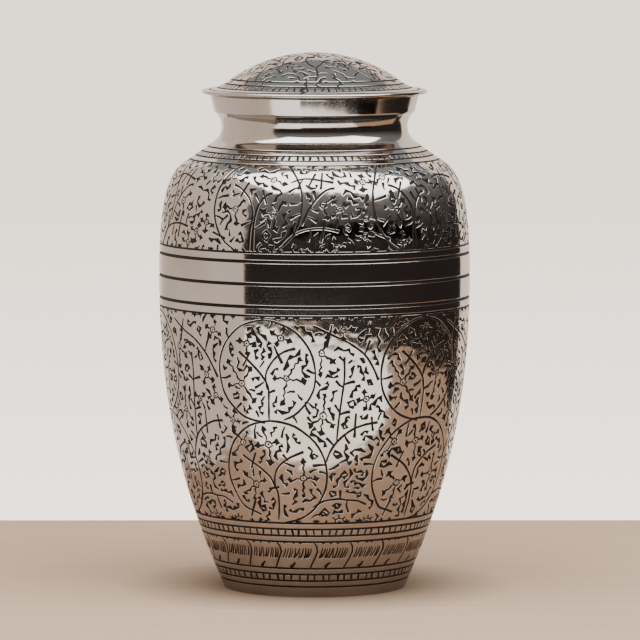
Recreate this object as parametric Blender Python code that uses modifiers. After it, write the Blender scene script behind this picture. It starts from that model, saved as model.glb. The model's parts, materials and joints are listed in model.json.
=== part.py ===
"""Cremation urn: a turned brass vase with a domed lid that lifts off.

Metres, +Z up. The origin is the centre of the foot, on the surface that the urn
stands on, and +Z runs up the axis of the urn. Both pieces are turned: one profile
each, swept round +Z. A profile is a smooth path thinned to the rings that it needs,
with the engraved border lines cut into it as grooves.
"""
import math

import bpy

# Body outline, heights stacked from the foot up
FOOT_RADIUS = 0.0453
BELLY_RADIUS = 0.0776
BELLY_HEIGHT = 0.1573
SHOULDER_RISE = 0.0572
NECK_SLOPE_RUN = 0.0119
NECK_SLOPE_RISE = 0.0085
WAIST_RADIUS = 0.0463
COVE_RADIUS = 0.0093
COVE_BELOW_WAIST = math.radians(54)
COVE_ABOVE_WAIST = math.radians(53)
COLLAR_FLARE = 0.0019
COLLAR_HEIGHT = 0.0086

# Fullness of the two body curves: how far each end carries on in its own direction
FOOT_FLARE_OUT = 0.0186
FOOT_FLARE_UP = 0.0433
BELLY_REACH_DOWN = 0.0720
BELLY_REACH_UP = 0.0492
SHOULDER_REACH_OUT = 0.0066
SHOULDER_REACH_DOWN = 0.0039

# Walls, foot and mouth
WALL = 0.0015
FOOT_RING_WIDTH = 0.0040
BASE_RECESS = 0.0025
EDGE_CHAMFER = 0.0005

# Lid
RIM_OVERHANG = 0.0042
RIM_THICKNESS = 0.0020
FLARE_WIDTH = 0.0146
FLARE_DROP = 0.0052
DOME_CURVATURE = 0.0720
LID_WALL = 0.0015
PLUG_WALL = 0.0020
PLUG_LENGTH = 0.0120
PLUG_CLEARANCE = 0.0004
SEAT_GAP = 0.0003

# Belt of three wide grooves round the belly, and the border line on either side
BELT_PITCH = 0.01105
BELT_BORDER = 0.0044
BELT_GROOVE_WIDTH = 0.0012
BELT_GROOVE_DEPTH = 0.0005

# Border lines: low bands above the foot, the shoulder line and the lid
LINE_WIDTH = 0.0006
LINE_DEPTH = 0.00035
FOOT_LINE_HEIGHT = 0.0054
BORDER_GAP = 0.0031
DASH_BAND = 0.0034
LEAF_BAND = 0.0139
NECK_LINE_PITCH = 0.00365
LID_LINE_PITCH = 0.0039

# Facets
TURN_STEPS = 40
CURVE_SAMPLES = 160
CHORD_ERROR = 0.00018
HIDDEN_CHORD_ERROR = 0.0005
SHARP_TURN = math.radians(20)

NICKEL = (0.66, 0.64, 0.62, 1.0)
METAL_ROUGHNESS = 0.12

NECK_RADIUS = WAIST_RADIUS + COVE_RADIUS * (1 - math.cos(COVE_BELOW_WAIST))
SHOULDER_RADIUS = NECK_RADIUS + NECK_SLOPE_RUN
SHOULDER_HEIGHT = BELLY_HEIGHT + SHOULDER_RISE
NECK_HEIGHT = SHOULDER_HEIGHT + NECK_SLOPE_RISE
WAIST_HEIGHT = NECK_HEIGHT + COVE_RADIUS * math.sin(COVE_BELOW_WAIST)
COLLAR_EDGE_RADIUS = WAIST_RADIUS + COVE_RADIUS * (1 - math.cos(COVE_ABOVE_WAIST))
COLLAR_EDGE_HEIGHT = WAIST_HEIGHT + COVE_RADIUS * math.sin(COVE_ABOVE_WAIST)
COLLAR_RADIUS = COLLAR_EDGE_RADIUS + COLLAR_FLARE
MOUTH_HEIGHT = COLLAR_EDGE_HEIGHT + COLLAR_HEIGHT
MOUTH_RADIUS = WAIST_RADIUS - WALL
FLOOR_HEIGHT = BASE_RECESS + WALL
SEAT_HEIGHT = MOUTH_HEIGHT + SEAT_GAP
RIM_RADIUS = COLLAR_RADIUS + RIM_OVERHANG
RIM_TOP_HEIGHT = SEAT_HEIGHT + RIM_THICKNESS
DOME_RADIUS = RIM_RADIUS - FLARE_WIDTH
DOME_HEIGHT = RIM_TOP_HEIGHT + FLARE_DROP
PLUG_RADIUS = MOUTH_RADIUS - PLUG_CLEARANCE


def clear_scene():
    """Remove every object, so that the script can be run again."""
    for existing in list(bpy.data.objects):
        bpy.data.objects.remove(existing, do_unlink=True)


def metal(name, colour, roughness):
    """A plated metal as a Principled BSDF."""
    made = bpy.data.materials.new(name)
    made.use_nodes = True
    shader = made.node_tree.nodes["Principled BSDF"]
    shader.inputs["Base Color"].default_value = colour
    shader.inputs["Metallic"].default_value = 1.0
    shader.inputs["Roughness"].default_value = roughness
    made.diffuse_color = colour
    return made


def bezier(start, start_pull, end_pull, end):
    """Points along a cubic curve between two (radius, height) points."""
    points = []
    for sample in range(CURVE_SAMPLES + 1):
        t = sample / CURVE_SAMPLES
        weights = ((1 - t) ** 3, 3 * (1 - t) ** 2 * t, 3 * (1 - t) * t ** 2, t ** 3)
        points.append(tuple(
            sum(weight * point[axis] for weight, point in
                zip(weights, (start, start_pull, end_pull, end)))
            for axis in (0, 1)))
    return points


def arc(centre, radius, start_angle, end_angle):
    """Points along a circular arc, angles measured from the outward direction."""
    points = []
    for sample in range(CURVE_SAMPLES + 1):
        angle = start_angle + (end_angle - start_angle) * sample / CURVE_SAMPLES
        points.append((centre[0] + radius * math.cos(angle),
                       centre[1] + radius * math.sin(angle)))
    return points


def joined(*stretches):
    """One path from several, without the points that two of them share."""
    path = []
    for stretch in stretches:
        for point in stretch:
            if not path or math.dist(path[-1], point) > 1e-7:
                path.append(point)
    return path


def path_lengths(path):
    """Distance of each point from the start, measured along the path."""
    lengths = [0.0]
    for before, after in zip(path, path[1:]):
        lengths.append(lengths[-1] + math.dist(before, after))
    return lengths


def at_length(path, lengths, wanted):
    """Point of the path at a length, with the unit normal on its right-hand side."""
    index = 1
    while index < len(path) - 1 and lengths[index] < wanted:
        index += 1
    before, after = path[index - 1], path[index]
    span = lengths[index] - lengths[index - 1]
    share = (wanted - lengths[index - 1]) / span
    along = ((after[0] - before[0]) / span, (after[1] - before[1]) / span)
    point = (before[0] + share * (after[0] - before[0]),
             before[1] + share * (after[1] - before[1]))
    return point, (along[1], -along[0])


def length_where(path, lengths, axis, value):
    """Length at which the path first passes a radius (axis 0) or a height (axis 1)."""
    for index in range(1, len(path)):
        before, after = path[index - 1][axis], path[index][axis]
        if min(before, after) <= value <= max(before, after) and before != after:
            share = (value - before) / (after - before)
            return lengths[index - 1] + share * (lengths[index] - lengths[index - 1])
    return lengths[-1]


def turn_at(path, index):
    """Angle by which the path turns, either way, at one of its inner points."""
    (x0, y0), (x1, y1), (x2, y2) = path[index - 1:index + 2]
    cross = (x1 - x0) * (y2 - y1) - (y1 - y0) * (x2 - x1)
    along = (x1 - x0) * (x2 - x1) + (y1 - y0) * (y2 - y1)
    return abs(math.atan2(cross, along))


def turned_rings(path, chord_error, grooves=()):
    """Thin a path to the rings that its curves need, and cut grooves into it.

    A groove is (length along the path, width, depth). The cut goes to the left of the
    path's direction, which is the metal's side on a path that runs up the outside.
    """
    lengths = path_lengths(path)
    kept = [(0.0, path[0])]
    turned = 0.0
    for index in range(1, len(path) - 1):
        turn = turn_at(path, index)
        turned += turn
        sagitta = (lengths[index] - kept[-1][0]) * turned / 8
        if sagitta >= chord_error or turn >= SHARP_TURN:
            kept.append((lengths[index], path[index]))
            turned = 0.0
    kept.append((lengths[-1], path[-1]))

    last = len(kept) - 1
    rings = [ring for place, ring in enumerate(kept)
             if place in (0, last)
             or all(abs(ring[0] - middle) > 2.5 * width for middle, width, _ in grooves)]
    for middle, width, depth in grooves:
        for offset, cut in ((-width / 2, 0.0), (0.0, depth), (width / 2, 0.0)):
            point, normal = at_length(path, lengths, middle + offset)
            rings.append((middle + offset,
                          (point[0] - cut * normal[0], point[1] - cut * normal[1])))
    return [point for _, point in sorted(rings)]


def inset(path, depth):
    """The path moved to its left by a depth, point by point."""
    lengths = path_lengths(path)
    moved = []
    for length in lengths:
        point, normal = at_length(path, lengths, length)
        moved.append((point[0] - depth * normal[0], point[1] - depth * normal[1]))
    return moved


def turned_object(name, profile, material, collection):
    """A solid of revolution from a profile whose outer side runs from top to bottom."""
    mesh = bpy.data.meshes.new(name)
    mesh.from_pydata([(radius, 0.0, height) for radius, height in profile],
                     [(index, index + 1) for index in range(len(profile) - 1)], [])
    made = bpy.data.objects.new(name, mesh)
    collection.objects.link(made)
    mesh.materials.append(material)

    screw = made.modifiers.new("Turned", "SCREW")
    screw.axis = "Z"
    screw.angle = math.tau
    screw.steps = TURN_STEPS
    screw.render_steps = TURN_STEPS
    screw.use_merge_vertices = True
    screw.merge_threshold = 0.00001
    screw.use_smooth_shade = True
    return made


def body_path():
    """Outside of the body, from the foot up to the mouth."""
    belly = (BELLY_RADIUS, BELLY_HEIGHT)
    shoulder = (SHOULDER_RADIUS, SHOULDER_HEIGHT)
    neck = (NECK_RADIUS, NECK_HEIGHT)
    lower = bezier((FOOT_RADIUS, 0.0),
                   (FOOT_RADIUS + FOOT_FLARE_OUT, FOOT_FLARE_UP),
                   (BELLY_RADIUS, BELLY_HEIGHT - BELLY_REACH_DOWN), belly)
    upper = bezier(belly, (BELLY_RADIUS, BELLY_HEIGHT + BELLY_REACH_UP),
                   (SHOULDER_RADIUS + SHOULDER_REACH_OUT,
                    SHOULDER_HEIGHT - SHOULDER_REACH_DOWN), shoulder)
    cove = arc((WAIST_RADIUS + COVE_RADIUS, WAIST_HEIGHT), COVE_RADIUS,
               math.pi + COVE_BELOW_WAIST, math.pi - COVE_ABOVE_WAIST)
    return joined(lower, upper, [shoulder, neck], cove,
                  [(COLLAR_RADIUS, MOUTH_HEIGHT - EDGE_CHAMFER)])


def body_grooves(path):
    """Belt grooves and border lines on the body, from the foot up."""
    lengths = path_lengths(path)
    first_dashes = FOOT_LINE_HEIGHT + BORDER_GAP
    leaves = first_dashes + DASH_BAND + BORDER_GAP
    second_dashes = leaves + LEAF_BAND + BORDER_GAP
    panel_foot = second_dashes + DASH_BAND + BORDER_GAP
    line_heights = (FOOT_LINE_HEIGHT,
                    first_dashes, first_dashes + DASH_BAND,
                    leaves, leaves + LEAF_BAND,
                    second_dashes, second_dashes + DASH_BAND,
                    panel_foot,
                    BELLY_HEIGHT - BELT_PITCH - BELT_BORDER,
                    BELLY_HEIGHT + BELT_PITCH + BELT_BORDER)
    grooves = [(length_where(path, lengths, 1, height), LINE_WIDTH, LINE_DEPTH)
               for height in line_heights]
    for step in (-1, 0, 1):
        place = length_where(path, lengths, 1, BELLY_HEIGHT + step * BELT_PITCH)
        grooves.append((place, BELT_GROOVE_WIDTH, BELT_GROOVE_DEPTH))
    shoulder_line = length_where(path, lengths, 1, SHOULDER_HEIGHT)
    for step in range(4):
        grooves.append((shoulder_line + step * NECK_LINE_PITCH, LINE_WIDTH, LINE_DEPTH))
    return grooves


def body_profile():
    """Inside floor and wall, mouth, outside wall, foot ring and recessed base."""
    path = body_path()
    inside = [point for point in inset(path, WALL)
              if FLOOR_HEIGHT + EDGE_CHAMFER < point[1] < WAIST_HEIGHT
              and point[0] > MOUTH_RADIUS]
    floor_edge = (inside[0][0] - EDGE_CHAMFER, FLOOR_HEIGHT)
    inner = turned_rings([floor_edge] + inside + [(MOUTH_RADIUS, WAIST_HEIGHT)],
                         HIDDEN_CHORD_ERROR)
    mouth = [(MOUTH_RADIUS, MOUTH_HEIGHT - EDGE_CHAMFER),
             (MOUTH_RADIUS + EDGE_CHAMFER, MOUTH_HEIGHT),
             (COLLAR_RADIUS - EDGE_CHAMFER, MOUTH_HEIGHT)]
    outer = turned_rings(path, CHORD_ERROR, body_grooves(path))
    ring_inside = FOOT_RADIUS - FOOT_RING_WIDTH
    foot = [(ring_inside, 0.0), (ring_inside - EDGE_CHAMFER, BASE_RECESS)]
    return ([(0.0, FLOOR_HEIGHT)] + inner + mouth + outer[::-1] + foot
            + [(0.0, BASE_RECESS)])


def lid_path():
    """Outside of the lid, from the edge of its rim up to the top of the dome."""
    slope = math.asin(DOME_RADIUS / DOME_CURVATURE)
    dome_centre = (0.0, DOME_HEIGHT - DOME_CURVATURE * math.cos(slope))
    dome = arc(dome_centre, DOME_CURVATURE, math.pi / 2 - slope, math.pi / 2)
    half = RIM_THICKNESS / 2
    edge = arc((RIM_RADIUS - half, SEAT_HEIGHT + half), half, -math.pi / 2, math.pi / 2)
    reach = (RIM_RADIUS - half - DOME_RADIUS) / 2
    flare = bezier(edge[-1], (edge[-1][0] - reach, edge[-1][1]),
                   (DOME_RADIUS + reach / 2, DOME_HEIGHT - reach / 2 * math.tan(slope)),
                   (DOME_RADIUS, DOME_HEIGHT))
    return joined(edge, flare, dome)


def lid_grooves(path):
    """Border lines on the lid: three on the flare and one round the dome."""
    lengths = path_lengths(path)
    radii = [RIM_RADIUS - step * LID_LINE_PITCH for step in (1, 2, 3)] + [DOME_RADIUS]
    rim = length_where(path, lengths, 1, RIM_TOP_HEIGHT)
    grooves = []
    for radius in radii:
        place = next(length for point, length in zip(path, lengths)
                     if length > rim and point[0] <= radius)
        grooves.append((place, LINE_WIDTH, LINE_DEPTH))
    return grooves


def lid_profile():
    """Dome and rim, flat seat, the plug that drops into the mouth, and the hollow."""
    path = lid_path()
    outer = turned_rings(path, CHORD_ERROR, lid_grooves(path))
    plug_inside = PLUG_RADIUS - PLUG_WALL
    plug_foot = SEAT_HEIGHT - PLUG_LENGTH
    hollow = [point for point in inset(path, LID_WALL)
              if point[0] < plug_inside - EDGE_CHAMFER and point[1] > RIM_TOP_HEIGHT]
    plug = [(PLUG_RADIUS, SEAT_HEIGHT),
            (PLUG_RADIUS, plug_foot + EDGE_CHAMFER),
            (PLUG_RADIUS - EDGE_CHAMFER, plug_foot),
            (plug_inside, plug_foot)]
    under = turned_rings([(plug_inside, hollow[0][1] - EDGE_CHAMFER)] + hollow[:-1]
                         + [(0.0, hollow[-1][1])], HIDDEN_CHORD_ERROR)
    return outer[::-1] + plug + under


def build_urn():
    """Make the body and the lid in one collection."""
    collection = bpy.data.collections.new("cremation_urn")
    bpy.context.scene.collection.children.link(collection)
    turned_object("urn_body", body_profile(),
                  metal("body_nickel", NICKEL, METAL_ROUGHNESS), collection)
    turned_object("lid", lid_profile(),
                  metal("lid_nickel", NICKEL, METAL_ROUGHNESS), collection)


clear_scene()
build_urn()
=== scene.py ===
"""Looks of a cremation urn: an engraved, nickel-plated vase with a domed lid.

The plain turned parts come from a lathe tree in Geometry Nodes. The engraved parts are
flat sheets that are cut along the outline of every graver stroke and then wrapped on the
turned outline, so each stroke is a real groove with a black floor. Lengths are in
millimetres until a mesh is made. Azimuth 0 is the side that faces the camera (-Y), and
it grows towards +X.
"""

import json
import logging
import math
import random
from collections import defaultdict
from collections.abc import Callable, Iterable, Sequence
from dataclasses import dataclass, field
from enum import Enum, IntEnum

import bpy
import numpy as np
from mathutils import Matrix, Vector, geometry, kdtree

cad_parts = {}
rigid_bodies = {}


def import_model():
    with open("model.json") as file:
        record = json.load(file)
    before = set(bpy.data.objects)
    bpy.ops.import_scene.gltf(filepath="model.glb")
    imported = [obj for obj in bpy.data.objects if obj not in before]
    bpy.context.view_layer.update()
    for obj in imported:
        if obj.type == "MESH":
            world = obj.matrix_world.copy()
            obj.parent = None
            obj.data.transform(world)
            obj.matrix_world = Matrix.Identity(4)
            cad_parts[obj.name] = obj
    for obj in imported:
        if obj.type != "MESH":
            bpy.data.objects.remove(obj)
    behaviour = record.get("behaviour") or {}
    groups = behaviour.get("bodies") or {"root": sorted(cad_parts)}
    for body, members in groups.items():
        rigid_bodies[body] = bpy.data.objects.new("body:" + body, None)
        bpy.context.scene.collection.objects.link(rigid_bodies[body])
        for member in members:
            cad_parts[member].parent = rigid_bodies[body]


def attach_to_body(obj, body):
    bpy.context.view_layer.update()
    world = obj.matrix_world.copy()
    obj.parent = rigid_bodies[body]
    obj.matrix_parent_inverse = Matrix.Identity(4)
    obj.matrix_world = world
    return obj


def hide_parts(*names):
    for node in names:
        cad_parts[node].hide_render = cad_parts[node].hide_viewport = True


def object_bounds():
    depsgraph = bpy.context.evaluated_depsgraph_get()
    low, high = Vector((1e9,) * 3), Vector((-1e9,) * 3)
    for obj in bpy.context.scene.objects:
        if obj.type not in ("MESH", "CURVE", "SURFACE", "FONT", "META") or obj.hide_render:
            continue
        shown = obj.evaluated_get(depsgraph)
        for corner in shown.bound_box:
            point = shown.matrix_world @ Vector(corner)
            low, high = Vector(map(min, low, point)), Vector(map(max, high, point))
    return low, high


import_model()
CAD_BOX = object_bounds()

LOG = logging.getLogger("cremation_urn")
MM = 0.001
COLUMNS = 180
Point = tuple[float, float]


# Outlines that the two pieces are turned to

def bezier(start: Point, start_pull: Point, end_pull: Point, end: Point,
           samples: int = 240) -> np.ndarray:
    """Sample a cubic curve between two (radius, height) points.

    Args:
        start: First point.
        start_pull: Handle of the first point.
        end_pull: Handle of the last point.
        end: Last point.
        samples: Number of stretches.

    Returns:
        The points, one per row.
    """
    t = np.linspace(0.0, 1.0, samples + 1)[:, None]
    return ((1 - t) ** 3 * np.array(start) + 3 * (1 - t) ** 2 * t * np.array(start_pull)
            + 3 * (1 - t) * t ** 2 * np.array(end_pull) + t ** 3 * np.array(end))


def arc(centre: Point, radius: float, start: float, end: float,
        samples: int = 120) -> np.ndarray:
    """Sample a circular arc, with angles in radians from the outward direction.

    Args:
        centre: Centre of the arc.
        radius: Its radius.
        start: First angle.
        end: Last angle.
        samples: Number of stretches.

    Returns:
        The points, one per row.
    """
    angle = np.linspace(start, end, samples + 1)
    return np.array(centre) + radius * np.column_stack((np.cos(angle), np.sin(angle)))


@dataclass(frozen=True)
class Outline:
    """A turned outline: (radius, height) along a path whose right-hand side is air."""

    path: np.ndarray
    lengths: np.ndarray

    @classmethod
    def through(cls, *stretches: np.ndarray) -> "Outline":
        """Join stretches of path into one outline, dropping the points they share."""
        path = np.vstack(stretches)
        step = np.hypot(*np.diff(path, axis=0).T)
        path = path[np.concatenate(([True], step > 1e-6))]
        step = np.hypot(*np.diff(path, axis=0).T)
        return cls(path, np.concatenate(([0.0], np.cumsum(step))))

    @property
    def total(self) -> float:
        """Length of the whole outline."""
        return float(self.lengths[-1])

    def at(self, length: np.ndarray | float) -> np.ndarray:
        """Radius and height at each length."""
        return np.stack([np.interp(length, self.lengths, self.path[:, axis])
                         for axis in (0, 1)], axis=-1)

    def normal(self, length: np.ndarray | float) -> np.ndarray:
        """Unit normal (radial, upward) at each length, pointing into the air."""
        step = np.diff(self.path, axis=0)
        middle = (self.lengths[1:] + self.lengths[:-1]) / 2
        along = np.stack([np.interp(length, middle, step[:, axis] / np.hypot(*step.T))
                          for axis in (0, 1)], axis=-1)
        along /= np.linalg.norm(along, axis=-1, keepdims=True)
        return np.stack((along[..., 1], -along[..., 0]), axis=-1)

    def where(self, axis: int, value: float, after: float = 0.0) -> float:
        """Find where the outline passes a radius or a height.

        Args:
            axis: 0 for a radius, 1 for a height.
            value: The radius or height.
            after: Length before which crossings are passed over.

        Returns:
            The length of the first crossing.
        """
        values = self.path[:, axis] - value
        crossing = (values[:-1] * values[1:] <= 0) & (self.lengths[1:] > after)
        index = int(np.argmax(crossing))
        span = values[index] - values[index + 1]
        share = values[index] / span if span else 0.0
        return float(self.lengths[index]
                     + share * (self.lengths[index + 1] - self.lengths[index]))

    def rows(self, start: float, end: float, step: float, turn: float) -> np.ndarray:
        """Choose rings close enough to follow the outline.

        Args:
            start: Length of the first ring.
            end: Length of the last ring.
            step: Longest distance between two rings.
            turn: Largest turn of the outline between two rings, in radians.

        Returns:
            The lengths of the rings, both ends among them.
        """
        fine = np.linspace(start, end, max(2, int((end - start) / 0.05)))
        normal = self.normal(fine)
        heading = np.unwrap(np.arctan2(normal[:, 1], normal[:, 0]))
        effort = np.concatenate(([0.0], np.cumsum(
            np.diff(fine) / step + np.abs(np.diff(heading)) / turn)))
        count = max(1, math.ceil(effort[-1]))
        return np.interp(np.linspace(0.0, effort[-1], count + 1), effort, fine)


@dataclass(frozen=True)
class BodyShape:
    """Sizes of the vase, as in the CAD solid, in millimetres."""

    foot_radius: float = 45.3
    belly: Point = (77.6, 157.3)
    shoulder_rise: float = 57.2
    neck_slope: Point = (11.9, 8.5)
    waist_radius: float = 46.3
    cove_radius: float = 9.3
    cove_below: float = math.radians(54)
    cove_above: float = math.radians(53)
    collar_flare: float = 1.9
    collar_height: float = 8.6
    foot_pull: Point = (18.6, 43.3)
    belly_reach_down: float = 72.0
    belly_reach_up: float = 49.2
    shoulder_pull: Point = (6.6, -3.9)
    wall: float = 1.5
    foot_ring_width: float = 4.0
    base_recess: float = 2.5
    chamfer: float = 0.5
    belt_pitch: float = 11.05

    @property
    def neck_radius(self) -> float:
        """Radius where the neck slope meets the cove."""
        return self.waist_radius + self.cove_radius * (1 - math.cos(self.cove_below))

    @property
    def shoulder(self) -> Point:
        """Radius and height of the shoulder line."""
        return (self.neck_radius + self.neck_slope[0],
                self.belly[1] + self.shoulder_rise)

    @property
    def neck_height(self) -> float:
        """Height where the neck slope meets the cove."""
        return self.shoulder[1] + self.neck_slope[1]

    @property
    def waist_height(self) -> float:
        """Height of the narrowest ring."""
        return self.neck_height + self.cove_radius * math.sin(self.cove_below)

    @property
    def collar_edge(self) -> Point:
        """Radius and height where the cove ends and the collar begins."""
        return (self.waist_radius + self.cove_radius * (1 - math.cos(self.cove_above)),
                self.waist_height + self.cove_radius * math.sin(self.cove_above))

    @property
    def mouth_height(self) -> float:
        """Height of the top of the body."""
        return self.collar_edge[1] + self.collar_height

    @property
    def collar_radius(self) -> float:
        """Radius of the collar at the mouth."""
        return self.collar_edge[0] + self.collar_flare

    @property
    def mouth_radius(self) -> float:
        """Radius of the bore."""
        return self.waist_radius - self.wall

    def outline(self) -> Outline:
        """Outside of the body, from the foot up to the mouth."""
        foot = (self.foot_radius, 0.0)
        lower = bezier(foot, (foot[0] + self.foot_pull[0], self.foot_pull[1]),
                       (self.belly[0], self.belly[1] - self.belly_reach_down), self.belly)
        upper = bezier(self.belly, (self.belly[0], self.belly[1] + self.belly_reach_up),
                       (self.shoulder[0] + self.shoulder_pull[0],
                        self.shoulder[1] + self.shoulder_pull[1]), self.shoulder)
        cove = arc((self.waist_radius + self.cove_radius, self.waist_height),
                   self.cove_radius, math.pi + self.cove_below, math.pi - self.cove_above)
        collar = [(self.collar_radius, self.mouth_height - self.chamfer)]
        return Outline.through(lower, upper, cove, np.array(collar))


@dataclass(frozen=True)
class LidShape:
    """Sizes of the lid, as in the CAD solid, in millimetres."""

    rim_radius: float = 56.1
    rim_thickness: float = 2.0
    flare_width: float = 14.6
    flare_drop: float = 5.2
    dome_curvature: float = 72.0
    wall: float = 1.5
    plug_radius: float = 44.4
    plug_wall: float = 2.0
    plug_length: float = 12.0
    seat_gap: float = 0.3
    chamfer: float = 0.5
    line_pitch: float = 3.9

    @property
    def dome_radius(self) -> float:
        """Radius of the line round the dome."""
        return self.rim_radius - self.flare_width

    def outline(self, mouth_height: float) -> Outline:
        """Outside of the lid, from under the edge of its rim up to the top of the dome.

        Args:
            mouth_height: Height of the mouth that the lid sits on.

        Returns:
            The outline.
        """
        seat = mouth_height + self.seat_gap
        half = self.rim_thickness / 2
        dome_height = seat + self.rim_thickness + self.flare_drop
        slope = math.asin(self.dome_radius / self.dome_curvature)
        centre = (0.0, dome_height - self.dome_curvature * math.cos(slope))
        dome = arc(centre, self.dome_curvature, math.pi / 2 - slope, math.pi / 2)
        edge = arc((self.rim_radius - half, seat + half), half, -math.pi / 2, math.pi / 2)
        reach = (self.rim_radius - half - self.dome_radius) / 2
        flare = bezier((self.rim_radius - half, seat + self.rim_thickness),
                       (self.rim_radius - half - reach, seat + self.rim_thickness),
                       (self.dome_radius + reach / 2,
                        dome_height - reach / 2 * math.tan(slope)),
                       (self.dome_radius, dome_height))
        dome[-1, 0] = 0.0
        return Outline.through(edge, flare, dome)


# Sheets and how they wrap on an outline

class Round:
    """Wraps a flat sheet round the urn: u is azimuth times a radius, v is arc length."""

    def __init__(self, outline: Outline, reference: float) -> None:
        """Keep the outline and the radius at which the sheet is true to scale."""
        self.outline = outline
        self.reference = reference
        self.around = math.tau * reference

    def scale(self, sheet: np.ndarray) -> np.ndarray:
        """True millimetres per sheet millimetre, along u and v."""
        across = self.outline.at(sheet[:, 1])[:, 0] / self.reference
        return np.column_stack((across, np.ones(len(sheet))))

    def azimuth(self, sheet: np.ndarray) -> np.ndarray:
        """Azimuth of each point, with the seam of the sheet at the back."""
        return sheet[:, 0] / self.reference - math.pi

    def place(self, sheet: np.ndarray) -> np.ndarray:
        """Position in space of each point of the sheet."""
        angle = self.azimuth(sheet)
        ring = self.outline.at(sheet[:, 1])
        return np.column_stack((ring[:, 0] * np.sin(angle), -ring[:, 0] * np.cos(angle),
                                ring[:, 1]))

    def normals(self, sheet: np.ndarray) -> np.ndarray:
        """Outward unit normal at each point."""
        angle = self.azimuth(sheet)
        normal = self.outline.normal(sheet[:, 1])
        return np.column_stack((normal[:, 0] * np.sin(angle),
                                -normal[:, 0] * np.cos(angle), normal[:, 1]))

    def lift(self, sheet: np.ndarray, direction: np.ndarray) -> np.ndarray:
        """Turn true directions in the sheet into directions in space."""
        angle = self.azimuth(sheet)
        across = np.column_stack((np.cos(angle), np.sin(angle), np.zeros(len(sheet))))
        up = np.cross(self.normals(sheet), across)
        return direction[:, :1] * across + direction[:, 1:] * up


class Cap:
    """Wraps a flat disc on a dome: distance from the middle is arc length from the top."""

    def __init__(self, outline: Outline) -> None:
        """Keep the outline, which ends on the axis."""
        self.outline = outline

    def polar(self, sheet: np.ndarray) -> tuple[np.ndarray, np.ndarray]:
        """Arc length from the top, and unit direction away from the middle."""
        away = np.hypot(*sheet.T)
        safe = np.maximum(away, 1e-9)[:, None]
        toward = np.where(away[:, None] > 1e-9, sheet / safe, np.array((0.0, -1.0)))
        return away, toward

    def scale(self, sheet: np.ndarray) -> np.ndarray:
        """True millimetres per sheet millimetre, taken as one."""
        return np.ones((len(sheet), 2))

    def place(self, sheet: np.ndarray) -> np.ndarray:
        """Position in space of each point of the disc."""
        away, toward = self.polar(sheet)
        ring = self.outline.at(self.outline.total - away)
        return np.column_stack((ring[:, :1] * toward, ring[:, 1]))

    def normals(self, sheet: np.ndarray) -> np.ndarray:
        """Outward unit normal at each point."""
        away, toward = self.polar(sheet)
        normal = self.outline.normal(self.outline.total - away)
        normal[away < 1e-6] = (0.0, 1.0)
        return np.column_stack((normal[:, :1] * toward, normal[:, 1]))

    def lift(self, sheet: np.ndarray, direction: np.ndarray) -> np.ndarray:
        """Turn directions in the disc into directions in space."""
        _, toward = self.polar(sheet)
        normal = self.normals(sheet)
        side = np.column_stack((-toward[:, 1], toward[:, 0], np.zeros(len(sheet))))
        outward = np.cross(side, normal)
        radial = (direction * toward).sum(axis=1, keepdims=True)
        turned = (direction * side[:, :2]).sum(axis=1, keepdims=True)
        return radial * outward + turned * side


@dataclass(frozen=True)
class RingGroove:
    """A groove all the way round: its place along the sheet, width and depth."""

    place: float
    width: float = 1.05
    depth: float = 0.36


@dataclass(frozen=True)
class Stroke:
    """One graver cut: the outline of its groove and of the worn edge round it."""

    cut: np.ndarray
    edge: np.ndarray


# Width of the worn edge round every cut, and distances at which two points are one
# point and at which a point lies on a line, in millimetres.
EDGE = 0.26
WELD = 0.01
ON_LINE = 1e-3


def ribbon(line: np.ndarray, widths: np.ndarray) -> Stroke:
    """Outline of a cut that follows a line.

    Args:
        line: Points along the middle of the cut.
        widths: Width of the cut at each point.

    Returns:
        The stroke, with blunt ends.
    """
    ahead = np.gradient(line, axis=0)
    ahead /= np.maximum(np.linalg.norm(ahead, axis=1, keepdims=True), 1e-9)
    side = np.column_stack((-ahead[:, 1], ahead[:, 0]))
    outlines = []
    for grow in (0.0, EDGE):
        middle = line.copy()
        middle[0] -= ahead[0] * grow
        middle[-1] += ahead[-1] * grow
        half = (widths / 2 + grow)[:, None]
        outlines.append(np.vstack((middle - side * half, (middle + side * half)[::-1])))
    return Stroke(*outlines)


def patch(centre: np.ndarray, angles: np.ndarray, reach: np.ndarray) -> Stroke:
    """Outline of a star-shaped cut, from its reach in each direction."""
    ray = np.column_stack((np.cos(angles), np.sin(angles)))
    return Stroke(*(centre + ray * (reach + grow)[:, None] for grow in (0.0, EDGE * 1.15)))


def sprouting(line: np.ndarray, widths: np.ndarray, angles: np.ndarray,
              reach: np.ndarray) -> Stroke:
    """Outline of a cut along a line that ends in a ragged leaf.

    Args:
        line: Points along the middle of the cut.
        widths: Width of the cut at each point.
        angles: Directions of the leaf's corners, from one side of the line to the other.
        reach: How far each corner lies from the end of the line.

    Returns:
        The stroke.
    """
    stalk = ribbon(line, widths)
    leaf = patch(line[-1], angles, reach)
    count = len(line)
    return Stroke(*(np.vstack((side[:count - 1], crown, side[count + 1:]))
                    for side, crown in ((stalk.cut, leaf.cut), (stalk.edge, leaf.edge))))


def smooth(points: Sequence[Point], step: float) -> np.ndarray:
    """Run a smooth line through points.

    Args:
        points: Points that the line passes.
        step: Distance between the points of the result.

    Returns:
        The points of the line.
    """
    given = np.array(points, dtype=float)
    before = np.vstack((2 * given[0] - given[1], given, 2 * given[-1] - given[-2]))
    line = [given[0]]
    for index in range(len(given) - 1):
        a, b, c, d = before[index:index + 4]
        count = max(1, round(float(np.linalg.norm(c - b)) / step))
        for part in range(1, count + 1):
            t = part / count
            line.append(0.5 * (2 * b + (c - a) * t + (2 * a - 5 * b + 4 * c - d) * t ** 2
                               + (3 * b - a - 3 * c + d) * t ** 3))
    return np.array(line)


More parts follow.
